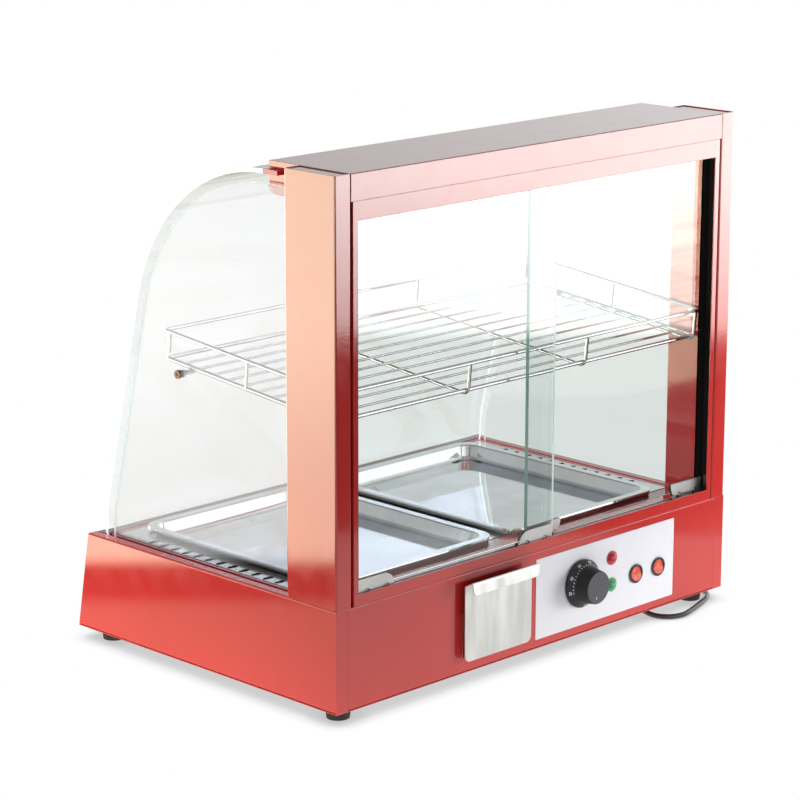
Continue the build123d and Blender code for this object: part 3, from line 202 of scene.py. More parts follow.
def add_numbers(shape):
    """Numerals round the skirt, bent to it."""
    for place_no, number in enumerate(DIAL_NUMBERS):
        turn = DIAL_START + NUMBER_STEP * place_no
        before = len(shape.verts)
        shape.from_mesh(number_mesh(number))
        shape.verts.ensure_lookup_table()
        for vert in shape.verts[before:]:
            x, y, z = vert.co
            vert.co = on_skirt(turn, x, NUMBER_SLANT - y, z)


def add_dots(shape):
    """Round dots on the skirt, from the first number to the last."""
    for dot in range(DOTS_A_NUMBER * (len(DIAL_NUMBERS) - 1) + 1):
        turn = DIAL_START + NUMBER_STEP * dot / DOTS_A_NUMBER
        made = bmesh.ops.create_cone(
            shape, cap_ends=True, segments=DOT_SIDES, radius1=DOT_R, radius2=DOT_R, depth=2 * MARK_THICK
        )
        for vert in made["verts"]:
            x, y, z = vert.co
            vert.co = on_skirt(turn, x, DOT_SLANT - y, z)


def add_tick(shape):
    """Pointer tick on the face."""
    turn = math.radians(TICK_TURN)
    for vert in bmesh.ops.create_cube(shape, size=1.0)["verts"]:
        across = vert.co.x * TICK_W
        along = TICK_R + vert.co.y * TICK_L
        proud = vert.co.z * 2 * MARK_THICK
        x = KNOB_X + along * math.sin(turn) + across * math.cos(turn)
        z = KNOB_Z + along * math.cos(turn) - across * math.sin(turn)
        vert.co = (x, KNOB_FACE - proud, z)


def make_dial():
    """White numerals and dots on the skirt, and the pointer tick on the face, turning with the knob."""
    shape = bmesh.new()
    add_numbers(shape)
    add_dots(shape)
    add_tick(shape)
    bmesh.ops.recalc_face_normals(shape, faces=shape.faces)
    mesh = bpy.data.meshes.new("dial_marks")
    shape.to_mesh(mesh)
    shape.free()
    marks = bpy.data.objects.new("dial_marks", mesh)
    bpy.context.scene.collection.objects.link(marks)
    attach(marks, "thermostat_knob")
    return marks


dial = make_dial()


# Shader building blocks: the mix node's colour sockets are known by their numbers
COLOUR_A, COLOUR_B, COLOUR_OUT = 6, 7, 2

# The part of a noise where most of it lies, and how detailed it is
MIDDLE = (0.3, 0.7)
RICH = 3.0
PLAIN = 1.0

# The most that an upright face looks up or down, and the least that a face on an axis looks along it
UPRIGHT = 0.5
FACE_ON = 0.7


def put(tree, socket, value):
    """Give a socket a number, a vector or a colour, or link another socket to it."""
    if isinstance(value, bpy.types.NodeSocket):
        tree.links.new(value, socket)
    elif socket.type == "RGBA":
        socket.default_value = (*value, 1.0)
    else:
        socket.default_value = value


def add(tree, kind, inputs=None, **settings):
    """Add a node with its settings and its inputs, which are values or sockets."""
    made = tree.nodes.new(kind)
    for name, value in settings.items():
        setattr(made, name, value)
    for key, value in (inputs or {}).items():
        put(tree, made.inputs[key], value)
    return made


def fill(tree, surface, **inputs):
    """Set or link several inputs of a surface shader, named with underscores."""
    for key, value in inputs.items():
        put(tree, surface.inputs[key.replace("_", " ")], value)


def start(name, **constants):
    """New material with its surface shader's constant values."""
    material = bpy.data.materials.new(name)
    material.use_nodes = True
    tree = material.node_tree
    surface = tree.nodes["Principled BSDF"]
    fill(tree, surface, **constants)
    return material, tree, surface


def calc(tree, operation, first, *others):
    """A number worked on alone, or with others in turn."""
    for other in others or (0.0,):
        first = add(tree, "ShaderNodeMath", {0: first, 1: other}, operation=operation).outputs[0]
    return first


def invert(tree, share):
    """What is left of one."""
    return calc(tree, "SUBTRACT", 1.0, share)


def distance(tree, first, second):
    """Straight distance that two distances at right angles make."""
    squares = [calc(tree, "MULTIPLY", part, part) for part in (first, second)]
    return calc(tree, "SQRT", calc(tree, "ADD", *squares))


def ramp(tree, value, low, high, at_low=0.0, at_high=1.0, smooth=True):
    """Map a value between two marks on to the values at those marks, held beyond them."""
    kind = "SMOOTHSTEP" if smooth else "LINEAR"
    inputs = {"Value": value, "From Min": low, "From Max": high, "To Min": at_low, "To Max": at_high}
    return add(tree, "ShaderNodeMapRange", inputs, interpolation_type=kind).outputs["Result"]


def blend(tree, factor, first, second):
    """Mix two colours."""
    inputs = {"Factor": factor, COLOUR_A: first, COLOUR_B: second}
    return add(tree, "ShaderNodeMix", inputs, data_type="RGBA").outputs[COLOUR_OUT]


def place(tree, stretch=(1.0, 1.0, 1.0)):
    """Position on the piece, in metres, stretched along the piece's own axes."""
    coords = add(tree, "ShaderNodeTexCoord").outputs["Object"]
    return add(tree, "ShaderNodeMapping", {"Vector": coords, "Scale": stretch}).outputs["Vector"]


def split(tree, where):
    """The three parts of a position or a direction."""
    made = add(tree, "ShaderNodeSeparateXYZ", {0: where})
    return made.outputs["X"], made.outputs["Y"], made.outputs["Z"]


def facing(tree):
    """The three parts of the direction that the bare surface faces."""
    return split(tree, add(tree, "ShaderNodeNewGeometry").outputs["True Normal"])


def noise(tree, where, scale, detail=2.0):
    """Soft random field."""
    inputs = {"Vector": where, "Scale": scale, "Detail": detail}
    return add(tree, "ShaderNodeTexNoise", inputs).outputs["Fac"]


def mottled(tree, where, scale, dark, light):
    """Colour that drifts between two tones."""
    return blend(tree, noise(tree, where, scale, RICH), dark, light)


def varied(tree, where, scale, low, high):
    """Number that drifts between two values."""
    return ramp(tree, noise(tree, where, scale), *MIDDLE, low, high)


def bump(tree, height, depth, normal=None):
    """Surface normal of a fine relief, on the surface itself or on another normal."""
    inputs = {"Height": height, "Distance": depth}
    if normal:
        inputs["Normal"] = normal
    return add(tree, "ShaderNodeBump", inputs).outputs["Normal"]


# Paint: its tones and peel, the rounding of its edges, the painted shade in the door channel (lengths in
# metres)
PAINT_TONES = ((0.50, 0.026, 0.023), (0.56, 0.031, 0.026))
PAINT_CLOUDS = 9.0
PAINT_ROUGH = (40.0, 0.10, 0.17)
PEEL_GRAIN, PEEL_DEPTH = 300.0, 0.00002
EDGE_R = 0.0008
EDGE_SAMPLES = 4
CHANNEL_X = (0.2970, 0.3030)
CHANNEL_Y = -0.2060
CHANNEL_SHADE_BLACK = (0.008, 0.007, 0.007)


def red_paint(name, channel_shaded=False):
    """Gloss stoved paint with faint orange peel, and black painted shade in the door channel if asked for.
    """
    material, tree, surface = start(name, Coat_Weight=1.0, Coat_Roughness=0.05, Coat_IOR=1.5)
    where = place(tree)
    colour = mottled(tree, where, PAINT_CLOUDS, *PAINT_TONES)
    if channel_shaded:
        x, y, _ = split(tree, where)
        across = calc(tree, "ABSOLUTE", x)
        after = calc(tree, "GREATER_THAN", across, CHANNEL_X[0])
        before = calc(tree, "LESS_THAN", across, CHANNEL_X[1])
        inside = calc(tree, "GREATER_THAN", y, CHANNEL_Y)
        # The door channel is painted black: painted shade for the shadow deep in the channel
        colour = blend(tree, calc(tree, "MULTIPLY", after, before, inside), colour, CHANNEL_SHADE_BLACK)
    rounded = add(tree, "ShaderNodeBevel", {"Radius": EDGE_R}, samples=EDGE_SAMPLES).outputs["Normal"]
    peel = bump(tree, noise(tree, where, PEEL_GRAIN, PLAIN), PEEL_DEPTH, normal=rounded)
    rough = varied(tree, where, *PAINT_ROUGH)
    fill(tree, surface, Base_Color=colour, Roughness=rough, Normal=peel, Coat_Normal=peel)
    return material


# Metals: leaning tray walls, a deck with painted shade in its holes and a painted dark reflection on its
# collars, coppered screws (lengths in metres)
STREAK_SPAN = (0.25, 0.75)
STREAK_ROUGH = (0.75, 1.25)
WAVE_GRAIN = 22.0
WALL_TILT = 0.30
DECK_TONES = ((0.77, 0.77, 0.76), (0.86, 0.86, 0.85))
DECK_BRUSHED = (20.0, 20.0, 20.0)
DECK_ROUGH = (0.08, 0.13)
DECK_WAVE = 0.00001
DECK_SPECULAR = 0.5
DECK_TOP = 0.1329
COLLAR_DARK_REFLECTION = (0.30, 0.30, 0.30)
HOLE_WALL_SHADE = (0.004, 0.004, 0.004)
HOLE_SHADE_BLACK = (0.006, 0.006, 0.006)
HOLE_ROW_X = 0.29625
HOLE_ROW_Y = (-0.0840, 0.1316)
HOLE_PITCH = 0.0196
HOLE_SIDES_X = (-0.1, 0.1)
HOLE_SHADE_X = (0.0078, 0.0052)
HOLE_SHADE_Y = 0.0036
SCREW_Y, SCREW_Z = 0.0617, 0.3482
SCREW_HEAD_X = 0.3162
SCREW_DRIVE_R = (0.0016, 0.0022)
COPPER_TONES = ((0.30, 0.13, 0.09), (0.36, 0.17, 0.12))
COPPER_GRAIN, COPPER_DEPTH = 400.0, 0.00001
COPPER_ROUGH = (0.35, 0.5)
DRIVE_SHADE_BROWN = (0.03, 0.015, 0.012)
SHANK_GREY = (0.62, 0.62, 0.62)


def leaning(tree, tilt):
    """Normal of upright faces leaned upwards, as on a flared wall."""
    normal = add(tree, "ShaderNodeNewGeometry").outputs["Normal"]
    upright = ramp(tree, calc(tree, "ABSOLUTE", split(tree, normal)[2]), *MIDDLE, tilt, 0.0)
    lift = add(tree, "ShaderNodeCombineXYZ", {"Z": upright}).outputs["Vector"]
    leant = add(tree, "ShaderNodeVectorMath", {0: normal, 1: lift}, operation="ADD").outputs["Vector"]
    return add(tree, "ShaderNodeVectorMath", {0: leant}, operation="NORMALIZE").outputs["Vector"]


def steel(name, colour, rough, brushed, wave, tilt=0.0, fade=0.10):
    """Metal with brushed streaks and slight waviness, its streaks darker by the fade."""
    material, tree, surface = start(name, Metallic=1.0)
    streaks = noise(tree, place(tree, brushed), 1.0, RICH)
    dark = [(1.0 - fade) * channel for channel in colour]
    base = leaning(tree, tilt) if tilt else None
    fill(
        tree,
        surface,
        Base_Color=blend(tree, ramp(tree, streaks, *MIDDLE), dark, colour),
        Roughness=ramp(tree, streaks, *STREAK_SPAN, *(share * rough for share in STREAK_ROUGH)),
        Normal=bump(tree, noise(tree, place(tree), WAVE_GRAIN, PLAIN), wave, normal=base),
    )
    return material


def hole_shade(tree, where):
    """Whether a place lies in the shade round a hole of the deck's outer rows, longer in the left row."""
    x, y, _ = split(tree, where)
    from_row = calc(tree, "SUBTRACT", calc(tree, "ABSOLUTE", x), HOLE_ROW_X)
    from_hole = calc(tree, "PINGPONG", calc(tree, "SUBTRACT", y, HOLE_ROW_Y[0]), HOLE_PITCH / 2)
    across = calc(tree, "DIVIDE", from_row, ramp(tree, x, *HOLE_SIDES_X, *HOLE_SHADE_X))
    along = calc(tree, "DIVIDE", from_hole, HOLE_SHADE_Y)
    near = calc(tree, "LESS_THAN", distance(tree, across, along), 1.0)
    after = calc(tree, "GREATER_THAN", y, HOLE_ROW_Y[0] - HOLE_PITCH / 2)
    before = calc(tree, "LESS_THAN", y, HOLE_ROW_Y[1] + HOLE_PITCH / 2)
    return calc(tree, "MULTIPLY", near, after, before)


def deck_steel():
    """Stainless deck with painted shade in its holes and round the outer ones, and a painted dark reflection
    on the trays' collars.
    """
    material, tree, surface = start("deck_steel")
    where = place(tree)
    streaks = noise(tree, place(tree, DECK_BRUSHED), 1.0, RICH)
    shaded = hole_shade(tree, where)
    bare = invert(tree, shaded)
    sheet = blend(tree, shaded, blend(tree, streaks, *DECK_TONES), HOLE_SHADE_BLACK)
    # Hole walls black for painted shade deep in the holes; collar walls grey for a painted dark reflection
    below = calc(tree, "LESS_THAN", split(tree, where)[2], DECK_TOP)
    wall = blend(tree, below, COLLAR_DARK_REFLECTION, HOLE_WALL_SHADE)
    upright = calc(tree, "LESS_THAN", calc(tree, "ABSOLUTE", facing(tree)[2]), UPRIGHT)
    fill(
        tree,
        surface,
        Base_Color=blend(tree, upright, sheet, wall),
        Metallic=bare,
        Specular_IOR_Level=calc(tree, "MULTIPLY", bare, DECK_SPECULAR),
        Roughness=ramp(tree, streaks, *STREAK_SPAN, *DECK_ROUGH),
        Normal=bump(tree, noise(tree, where, WAVE_GRAIN, PLAIN), DECK_WAVE),
    )
    return material


def screw_copper():
    """Coppered screw head with painted shade in its drive recess, and a pale shank."""
    material, tree, surface = start("screw_copper", Specular_IOR_Level=0.3)
    where = place(tree)
    x, y, z = split(tree, where)
    radius = distance(tree, calc(tree, "SUBTRACT", y, SCREW_Y), calc(tree, "SUBTRACT", z, SCREW_Z))
    grain = noise(tree, where, COPPER_GRAIN, RICH)
    # The drive recess is painted dark brown: painted shade in the recess
    head = blend(tree, ramp(tree, radius, *SCREW_DRIVE_R), DRIVE_SHADE_BROWN, blend(tree, grain, *COPPER_TONES))
    outside = calc(tree, "GREATER_THAN", calc(tree, "ABSOLUTE", x), SCREW_HEAD_X)
    fill(
        tree,
        surface,
        Base_Color=blend(tree, outside, SHANK_GREY, head),
        Roughness=ramp(tree, grain, *MIDDLE, *COPPER_ROUGH),
        Normal=bump(tree, grain, COPPER_DEPTH),
    )
    return material


# Plastics: the knob's face and ribs, the switches' inner rings with a painted red glow, the lenses, the
# label (lengths in metres)
TONE_CLOUDS = 60.0
GLOSS_CLOUDS = 90.0
GLOSS_SPAN = (0.8, 1.2)
KNOB_TONES = ((0.014, 0.014, 0.016), (0.022, 0.022, 0.025))
KNOB_ROUGH = (0.32, 0.44)
KNOB_FACE_PALE = (0.085, 0.088, 0.095)
FACE_DEPTH = 0.0002
RIBS = 72.0
RIBS_Y = (-0.2195, -0.2325)
RIB_DEPTH = 0.00015
RIB_ROUGH = 0.25
SWITCH_TONES = ((0.014, 0.012, 0.012), (0.024, 0.021, 0.021))
SWITCH_ROUGH = (0.25, 0.36)
SWITCH_GRAIN, SWITCH_DEPTH = 900.0, 0.00002
RING_GLOW_TINT = (0.16, 0.035, 0.02)
RING_X = (0.165, 0.206)
RING_Z = 0.068
RING_R = (0.0082, 0.0094)
LENS_CLOUDS, LENS_DEPTH = 160.0, 0.00004
LENS_SPAN = (0.35, 0.7)
LABEL_TONES = ((0.72, 0.73, 0.78), (0.76, 0.77, 0.81))
LABEL_CLOUDS = 30.0
LABEL_ROUGH = (120.0, 0.28, 0.38)
LABEL_GRAIN, LABEL_DEPTH = 900.0, 0.000005


def plastic(name, dark, light, rough, grain, depth, coat=0.0):
    """Moulded plastic or rubber with a fine grain."""
    material, tree, surface = start(name, Coat_Weight=coat, Coat_Roughness=0.06)
    where = place(tree)
    fill(
        tree,
        surface,
        Base_Color=mottled(tree, where, TONE_CLOUDS, dark, light),
        Roughness=varied(tree, where, GLOSS_CLOUDS, *(share * rough for share in GLOSS_SPAN)),
        Normal=bump(tree, noise(tree, where, grain), depth),
    )
    return material


def knob_black():
    """Moulded black knob with a ribbed side, whose turned face is a little paler."""
    material, tree, surface = start("knob_black", Specular_IOR_Level=0.4)
    where = place(tree)
    x, y, z = split(tree, where)
    face = calc(tree, "LESS_THAN", y, KNOB_FACE + FACE_DEPTH)
    past_skirt = calc(tree, "LESS_THAN", y, RIBS_Y[0])
    before_face = calc(tree, "GREATER_THAN", y, RIBS_Y[1])
    side = calc(tree, "MULTIPLY", past_skirt, before_face)
    turn = calc(tree, "ARCTAN2", calc(tree, "SUBTRACT", x, KNOB_X), calc(tree, "SUBTRACT", z, KNOB_Z))
    ribs = calc(tree, "SINE", calc(tree, "MULTIPLY", turn, RIBS))
    rough = varied(tree, where, GLOSS_CLOUDS, *KNOB_ROUGH)
    fill(
        tree,
        surface,
        Base_Color=blend(tree, face, mottled(tree, where, TONE_CLOUDS, *KNOB_TONES), KNOB_FACE_PALE),
        Roughness=calc(tree, "ADD", rough, calc(tree, "MULTIPLY", side, RIB_ROUGH)),
        Normal=bump(tree, calc(tree, "MULTIPLY", ribs, side), RIB_DEPTH),
    )
    return material


def switch_black():
    """Black switch bodies whose inner rings carry a painted red glow from the rockers."""
    material, tree, surface = start("switch_black", Coat_Weight=0.5, Coat_Roughness=0.08)
    where = place(tree)
    x, _, z = split(tree, where)
    middle = sum(RING_X) / 2
    from_middle = calc(tree, "ABSOLUTE", calc(tree, "SUBTRACT", x, middle))
    aside = calc(tree, "SUBTRACT", from_middle, RING_X[1] - middle)
    radius = distance(tree, aside, calc(tree, "SUBTRACT", z, RING_Z))
    black = mottled(tree, where, TONE_CLOUDS, *SWITCH_TONES)
    fill(
        tree,
        surface,
        # Inner rings tinted red: painted glow of the lit rockers
        Base_Color=blend(tree, ramp(tree, radius, *RING_R), RING_GLOW_TINT, black),
        Roughness=varied(tree, where, GLOSS_CLOUDS, *SWITCH_ROUGH),
        Normal=bump(tree, noise(tree, where, SWITCH_GRAIN), SWITCH_DEPTH),
    )
    return material


def lens(name, deep, pale):
    """Coloured clear plastic of a lamp or a rocker, paler in clouds."""
    material, tree, surface = start(name, Roughness=0.25, Coat_Weight=0.6, Coat_Roughness=0.05)
    clouds = noise(tree, place(tree), LENS_CLOUDS, PLAIN)
    fill(
        tree,
        surface,
        Base_Color=blend(tree, ramp(tree, clouds, *LENS_SPAN), deep, pale),
        Normal=bump(tree, clouds, LENS_DEPTH),
    )
    return material


def label_white():
    """Plain white film with a satin face."""
    material, tree, surface = start("label_white", Coat_Weight=0.3, Coat_Roughness=0.12)
    where = place(tree)
    fill(
        tree,
        surface,
        Base_Color=mottled(tree, where, LABEL_CLOUDS, *LABEL_TONES),
        Roughness=varied(tree, where, *LABEL_ROUGH),
        Normal=bump(tree, noise(tree, where, LABEL_GRAIN), LABEL_DEPTH),
    )
    return material


# Glass: its mirror's colour, its ground edges with their painted glow, its film, and what covers it at
# places: painted shade at a door's end and the jaw's paint (lengths in metres)
MIRROR_CLEAR = (1.0, 1.0, 1.0)
MIRROR_DULL = (0.08, 0.08, 0.08)
MIRROR_COOL = (0.46, 0.57, 1.0)
EDGE_LIGHT = (0.95, 0.97, 0.965)
EDGE_PALE = (0.80, 0.84, 0.83)
EDGE_GLOW = 0.55
DEPTH_GREEN = (0.45, 0.86, 0.76)
DEPTH_DENSITY = 6.0
END_SHADE_BLACK = (0.01, 0.01, 0.01)
END_SHADE_X = {-1: 0.2925, 1: 0.2905}
JAW_PAINT = (0.53, 0.028, 0.025)
JAW_Y = -0.081
GROUND_ROUGH = 0.4
SMEAR_STRETCH = (3.0, 3.0, 9.0)
SMEAR_SCALE, SMEAR_DETAIL = 2.0, 4.0
FILM_ROUGH = (0.45, 0.8, 0.0, 0.012)
FACES_X, FACES_Y = 0, 1


def glass(name, body, mirror, axis, ends=False, edge=EDGE_PALE, glow=EDGE_GLOW, shaded_end=0, clamped=False):
    """Clear float glass, green in its depth.

    Its ground edges are all faces that don't look along the axis or, for ends, those that do, with a painted
    glow if asked for. One end may have black painted shade of the door channel, at the lower or upper side
    in x, or a tongue may be clamped in a painted jaw.
    """
    material, tree, surface = start(name, IOR=1.5, Specular_Tint=mirror, Emission_Color=EDGE_LIGHT)
    along = calc(tree, "GREATER_THAN", calc(tree, "ABSOLUTE", facing(tree)[axis]), FACE_ON)
    ground = along if ends else invert(tree, along)
    lit = ground
    x, y, _ = split(tree, place(tree))
    if shaded_end:
        # Black strip at a door's end: painted shade of the door channel, with no mirror on it
        covered = calc(tree, "GREATER_THAN", calc(tree, "MULTIPLY", x, shaded_end), END_SHADE_X[shaded_end])
        edge = blend(tree, covered, edge, END_SHADE_BLACK)
        fill(tree, surface, Specular_Tint=blend(tree, covered, mirror, END_SHADE_BLACK))
    if clamped:
        covered = calc(tree, "LESS_THAN", y, JAW_Y)
        edge = blend(tree, covered, edge, JAW_PAINT)
        fill(tree, surface, Coat_Weight=covered)
    if shaded_end or clamped:
        lit = calc(tree, "MULTIPLY", ground, invert(tree, covered))
        ground = calc(tree, "MAXIMUM", ground, covered)
    # The ground edges glow a little: a painted glow standing in for light caught in the glass
    if glow:
        fill(tree, surface, Emission_Strength=calc(tree, "MULTIPLY", lit, glow))
    smears = noise(tree, place(tree, SMEAR_STRETCH), SMEAR_SCALE, SMEAR_DETAIL)
    film = ramp(tree, smears, *FILM_ROUGH)
    fill(
        tree,
        surface,
        Base_Color=blend(tree, ground, body, edge),
        Transmission_Weight=invert(tree, ground),
        Roughness=calc(tree, "ADD", film, calc(tree, "MULTIPLY", ground, GROUND_ROUGH)),
    )
    depth = add(tree, "ShaderNodeVolumeAbsorption", {"Color": DEPTH_GREEN, "Density": DEPTH_DENSITY})
    tree.links.new(depth.outputs["Volume"], tree.nodes["Material Output"].inputs["Volume"])
    return material


# One material for each slot, and their own for the nodes that need it
METALS = {
    "stainless": dict(colour=(0.86, 0.86, 0.85), rough=0.10, brushed=(20.0, 20.0, 20.0), wave=0.00001),
    "galvanised": dict(colour=(0.60, 0.61, 0.62), rough=0.45, brushed=(40.0, 40.0, 40.0), wave=0.00003),
    "heater_sheath": dict(colour=(0.30, 0.29, 0.28), rough=0.5, brushed=(90.0, 90.0, 90.0), wave=0.00002),
    "shoe_steel": dict(colour=(0.66, 0.65, 0.64), rough=0.40, brushed=(15.0, 15.0, 15.0), wave=0.000004),
    "rivet_steel": dict(colour=(0.10, 0.10, 0.10), rough=0.45, brushed=(300.0, 300.0, 300.0), wave=0.00001),
    "chrome_wire": dict(colour=(0.80, 0.83, 0.86), rough=0.07, brushed=(60.0, 60.0, 60.0), wave=0.00001),
    "brass": dict(colour=(0.42, 0.23, 0.15), rough=0.42, brushed=(400.0, 400.0, 400.0), wave=0.00001),
    "track_aluminium": dict(colour=(0.62, 0.60, 0.60), rough=0.3, brushed=(2.0, 400.0, 400.0), wave=0.00001),
}
PLASTICS = {
    "rubber": dict(
        dark=(0.012, 0.012, 0.012), light=(0.02, 0.02, 0.02), rough=0.6, grain=700.0, depth=0.00006
    ),
    "black_plastic": dict(
        dark=(0.011, 0.011, 0.012), light=(0.02, 0.02, 0.022), rough=0.34, grain=900.0, depth=0.00003
    ),
    "cord_black": dict(
        dark=(0.012, 0.012, 0.013),
        light=(0.02, 0.02, 0.021),
        rough=0.28,
        grain=600.0,
        depth=0.00001,
        coat=0.6,
    ),
    "ivory_plastic": dict(
        dark=(0.66, 0.63, 0.54), light=(0.72, 0.69, 0.60), rough=0.5, grain=500.0, depth=0.00003
    ),
    "lamp_glass": dict(
        dark=(0.84, 0.84, 0.80),
        light=(0.88, 0.88, 0.85),
        rough=0.2,
        grain=200.0,
        depth=0.000005,
        coat=1.0,
    ),
    "roller_nylon": dict(
        dark=(0.70, 0.70, 0.67), light=(0.78, 0.78, 0.75), rough=0.4, grain=700.0, depth=0.00002
    ),
}
LENSES = {
    "rocker_red": dict(deep=(0.66, 0.045, 0.018), pale=(0.82, 0.16, 0.06)),
    "lens_red": dict(deep=(0.50, 0.008, 0.016), pale=(0.66, 0.03, 0.04)),
    "lens_green": dict(deep=(0.02, 0.28, 0.10), pale=(0.10, 0.45, 0.22)),
}
SLOT_LOOKS = {
    "red_paint": red_paint("red_paint"),
    "label_white": label_white(),
    "glass": glass("glass_side", (0.89, 0.905, 0.90), MIRROR_DULL, FACES_X),
}
for make, kinds in ((steel, METALS), (plastic, PLASTICS), (lens, LENSES)):
    for slot, look in kinds.items():
        SLOT_LOOKS[slot] = make(slot, **look)

tray_steel = steel(
    "tray_steel", (0.97, 0.98, 0.99), rough=0.07, brushed=(20.0, 20.0, 20.0), wave=0.00001, tilt=WALL_TILT
)
drawer_steel = steel(
    "drawer_steel", (0.95, 0.95, 0.94), rough=0.36, brushed=(60.0, 60.0, 10.0), wave=0.00012, fade=0.16
)
left_pane = glass(
    "glass_left_door",
    (0.91, 0.935, 0.93),
    MIRROR_CLEAR,
    FACES_Y,
    edge=(0.84, 0.87, 0.86),
    glow=0.35,
    shaded_end=-1,
)
right_pane = glass(
    "glass_right_door",
    (0.92, 0.945, 0.94),
    MIRROR_CLEAR,
    FACES_Y,
    edge=(0.30, 0.50, 0.44),
    glow=0.0,
    shaded_end=1,
)
NODE_LOOKS = {
    "door_frame": red_paint("channel_shaded_paint", channel_shaded=True),
    "front_glass": glass("glass_front", (0.94, 0.955, 0.95), MIRROR_COOL, FACES_X, ends=True, clamped=True),
    "left_glass": glass("glass_left", (0.715, 0.695, 0.71), MIRROR_COOL, FACES_X),
    "left_door_glass": left_pane,
    "right_door_glass": right_pane,
    "deck_plate": deck_steel(),
    "tray_left": tray_steel,
    "tray_right": tray_steel,
    "shelf_screws": screw_copper(),
    "knob": knob_black(),
    "switch_bodies": switch_black(),
    "drawer_front": drawer_steel,
}
PANES = ("left_glass", "right_glass", "front_glass", "left_door_glass", "right_door_glass")


def dress(piece, material):
    """Give a piece one material."""
    piece.data.materials.clear()
    piece.data.materials.append(material)


for row in frame["record"]["subparts"]:
    node = row["node"]
    dress(NODES[node], NODE_LOOKS.get(node, SLOT_LOOKS[row["material_slot"]]))
dress(lead, SLOT_LOOKS["cord_black"])
dress(dial, SLOT_LOOKS["label_white"])
for pane in PANES:
    NODES[pane].visible_shadow = False
    NODES[pane].visible_diffuse = False


# Floor: half its side and the reach of the contact shadow (metres), and the shadow's tones by open sky
FLOOR_HALF = 12.0
FLOOR_WHITE = (0.85, 0.85, 0.85)
SHADOW_REACH = 0.024
SHADOW_SAMPLES = 8
SHADOW_TONE = (0.25, 0.95, 0.52, 1.0)

# Studio on the floor: where each edge begins and ends (metres), then its strength there, or else 0 and 1
TABLE_RIGHT = (-0.70, -0.62, 0.0, 0.72)
TABLE_LEFT = (0.58, 0.50)
LEFT_CARD = (0.66, 0.74, 0.0, 4.4)
LEFT_MORE = (0.80, 2.20, 0.0, 2.0)
RIGHT_CARD = (-1.78, -1.96, 0.0, 4.0)
RIGHT_MORE = (-1.96, -3.50, 0.0, 3.4)
BESIDE_NEAR = (-0.60, -0.10, 0.0, 0.8)
BESIDE_EDGE = (-0.10, -0.50)
DARKEST = 0.05
WARM_EDGE = (-0.2, 0.4)
WARM_TONES = ((1.0, 1.0, 0.97), (1.0, 0.91, 0.67))
LIFT_EDGE = (-0.05, 0.25, 1.1, 2.0)
LIFT_REACH = (0.80, 0.50)

# Surroundings: parts of a direction where each grade begins and ends, its strength there, and the fill
WALL_EDGE = (-0.6, 0.2, 1.6, 0.55)
WALL_RISE = (0.25, 0.8, 1.0, 0.4)
SOFT_FILL = 0.14

# Between no bounce of a ray and one
FIRST_BOUNCE = 0.5


def sight(tree):
    """Whether a ray comes from the eye, through glass or not, and whether a gloss sent it."""
    path = add(tree, "ShaderNodeLightPath").outputs
    sharp = calc(tree, "LESS_THAN", path["Diffuse Depth"], FIRST_BOUNCE)
    glossy = calc(tree, "GREATER_THAN", path["Glossy Depth"], FIRST_BOUNCE)
    straight = calc(tree, "MAXIMUM", path["Is Camera Ray"], path["Is Transmission Ray"])
    direct = calc(tree, "MULTIPLY", straight, invert(tree, glossy))
    return direct, calc(tree, "MULTIPLY", sharp, glossy)


def across_view(tree, x, y):
    """How far a place or a direction lies to the left across the photograph's view."""
    return calc(tree, "MULTIPLY", calc(tree, "SUBTRACT", y, x), math.sqrt(0.5))


def eye_floor(tree):
    """What the eye sees: white, with the soft shadow that the object keeps on it."""
    sky = add(tree, "ShaderNodeAmbientOcclusion", {"Distance": SHADOW_REACH}, samples=SHADOW_SAMPLES)
    tone = ramp(tree, sky.outputs["AO"], *SHADOW_TONE, smooth=False)
    return add(tree, "ShaderNodeEmission", {"Strength": tone}).outputs[0]


def gloss_floor(tree, side, y):
    """What gloss sees: the table, its dark edges and the bright cards beyond."""
    table = calc(tree, "MULTIPLY", ramp(tree, side, *TABLE_RIGHT), ramp(tree, side, *TABLE_LEFT))
    left = calc(tree, "ADD", ramp(tree, side, *LEFT_CARD), ramp(tree, side, *LEFT_MORE))
    right = calc(tree, "ADD", ramp(tree, side, *RIGHT_CARD), ramp(tree, side, *RIGHT_MORE, smooth=False))
    beside = calc(tree, "MULTIPLY", ramp(tree, y, *BESIDE_NEAR), ramp(tree, side, *BESIDE_EDGE))
    power = calc(tree, "MAXIMUM", calc(tree, "ADD", table, left, right), beside, DARKEST)
    warmth = blend(tree, ramp(tree, side, *WARM_EDGE), *WARM_TONES)
    return add(tree, "ShaderNodeEmission", {"Color": warmth, "Strength": power}).outputs[0]


def matt_floor(tree, side, reach):
    """What matt surfaces see: a white table that glows where the object stands."""
    bounce = add(tree, "ShaderNodeBsdfDiffuse", {"Color": FLOOR_WHITE}).outputs[0]
    lift = calc(tree, "MULTIPLY", ramp(tree, side, *LIFT_EDGE), ramp(tree, reach, *LIFT_REACH))
    glow = add(tree, "ShaderNodeEmission", {"Strength": lift}).outputs[0]
    return add(tree, "ShaderNodeAddShader", {0: bounce, 1: glow}).outputs[0]


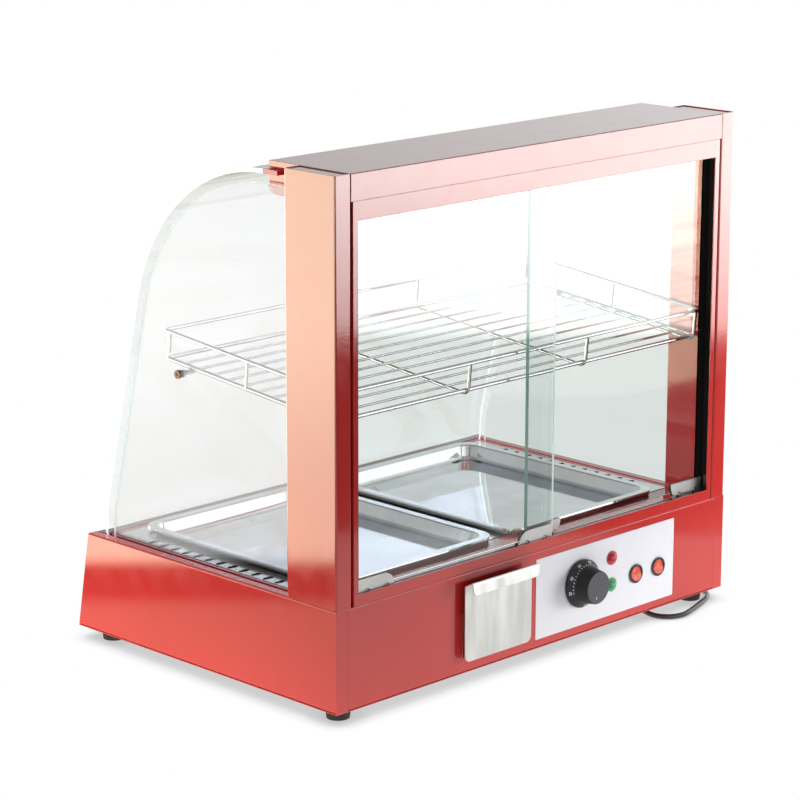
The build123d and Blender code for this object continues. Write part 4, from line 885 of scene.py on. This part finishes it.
def make_floor():
    """Plain white floor that keeps the shadow, with the studio's table and cards in its gloss."""
    mesh = bpy.data.meshes.new("floor")
    corners = [(x * FLOOR_HALF, y * FLOOR_HALF, 0) for x, y in ((-1, -1), (1, -1), (1, 1), (-1, 1))]
    mesh.from_pydata(corners, [], [(0, 1, 2, 3)])
    floor = bpy.data.objects.new("floor", mesh)
    bpy.context.scene.collection.objects.link(floor)
    material = bpy.data.materials.new("floor")
    material.use_nodes = True
    material.cycles.emission_sampling = "NONE"
    tree = material.node_tree
    tree.nodes.remove(tree.nodes["Principled BSDF"])
    direct, mirrored = sight(tree)
    x, y, _ = split(tree, add(tree, "ShaderNodeNewGeometry").outputs["Position"])
    side = across_view(tree, x, y)
    matt = matt_floor(tree, side, distance(tree, x, y))
    plain = add(tree, "ShaderNodeMixShader", {0: mirrored, 1: matt, 2: gloss_floor(tree, side, y)})
    whole = add(tree, "ShaderNodeMixShader", {0: direct, 1: plain.outputs[0], 2: eye_floor(tree)})
    tree.links.new(whole.outputs[0], tree.nodes["Material Output"].inputs["Surface"])
    mesh.materials.append(material)


def make_world():
    """White surroundings for the eye, graded ones for gloss and a soft fill for the rest."""
    world = bpy.data.worlds.new("world")
    bpy.context.scene.world = world
    world.use_nodes = True
    tree = world.node_tree
    direct, mirrored = sight(tree)
    x, y, z = split(tree, add(tree, "ShaderNodeTexCoord").outputs["Generated"])
    side = across_view(tree, x, y)
    wall = calc(tree, "MULTIPLY", ramp(tree, side, *WALL_EDGE), ramp(tree, z, *WALL_RISE))
    beyond_fill = calc(tree, "MULTIPLY", mirrored, calc(tree, "SUBTRACT", wall, SOFT_FILL))
    unseen = calc(tree, "MULTIPLY", invert(tree, direct), calc(tree, "ADD", beyond_fill, SOFT_FILL))
    fill(tree, tree.nodes["Background"], Color=(1.0, 1.0, 1.0), Strength=calc(tree, "ADD", direct, unseen))


def make_lamp(name, at, aim, size, power):
    """Soft square lamp that faces a point."""
    data = bpy.data.lights.new(name, "AREA")
    data.shape = "SQUARE"
    data.size = size
    data.energy = power
    lamp = bpy.data.objects.new(name, data)
    bpy.context.scene.collection.objects.link(lamp)
    lamp.location = at
    lamp.rotation_euler = (Vector(aim) - Vector(at)).to_track_quat("-Z", "Y").to_euler()
    lamp.visible_camera = False
    lamp.visible_glossy = False
    lamp.visible_transmission = False
    return lamp


def flag_off(lamp, piece):
    """Keep a lamp's light off one piece."""
    flagged = bpy.data.collections.new("flagged")
    flagged.objects.link(piece)
    lamp.light_linking.receiver_collection = flagged
    flagged.collection_objects[0].light_linking.link_state = "EXCLUDE"


make_floor()
make_world()
make_lamp("left_lamp", at=(-1.6, 0.4, 0.15), aim=(-0.3, 0.0, 0.05), size=1.0, power=5.0)
front_lamp = make_lamp("front_lamp", at=(-0.35, 1.3, 0.7), aim=(0.2, -0.1, 0.3), size=0.7, power=32.0)
make_lamp("right_lamp", at=(0.85, -0.85, 0.15), aim=(0.3, -0.2, 0.05), size=0.4, power=8.0)
# The front lamp would burn out the panel right before it
flag_off(front_lamp, NODES["front_panel"])

bpy.context.scene.view_settings.view_transform = "Standard"
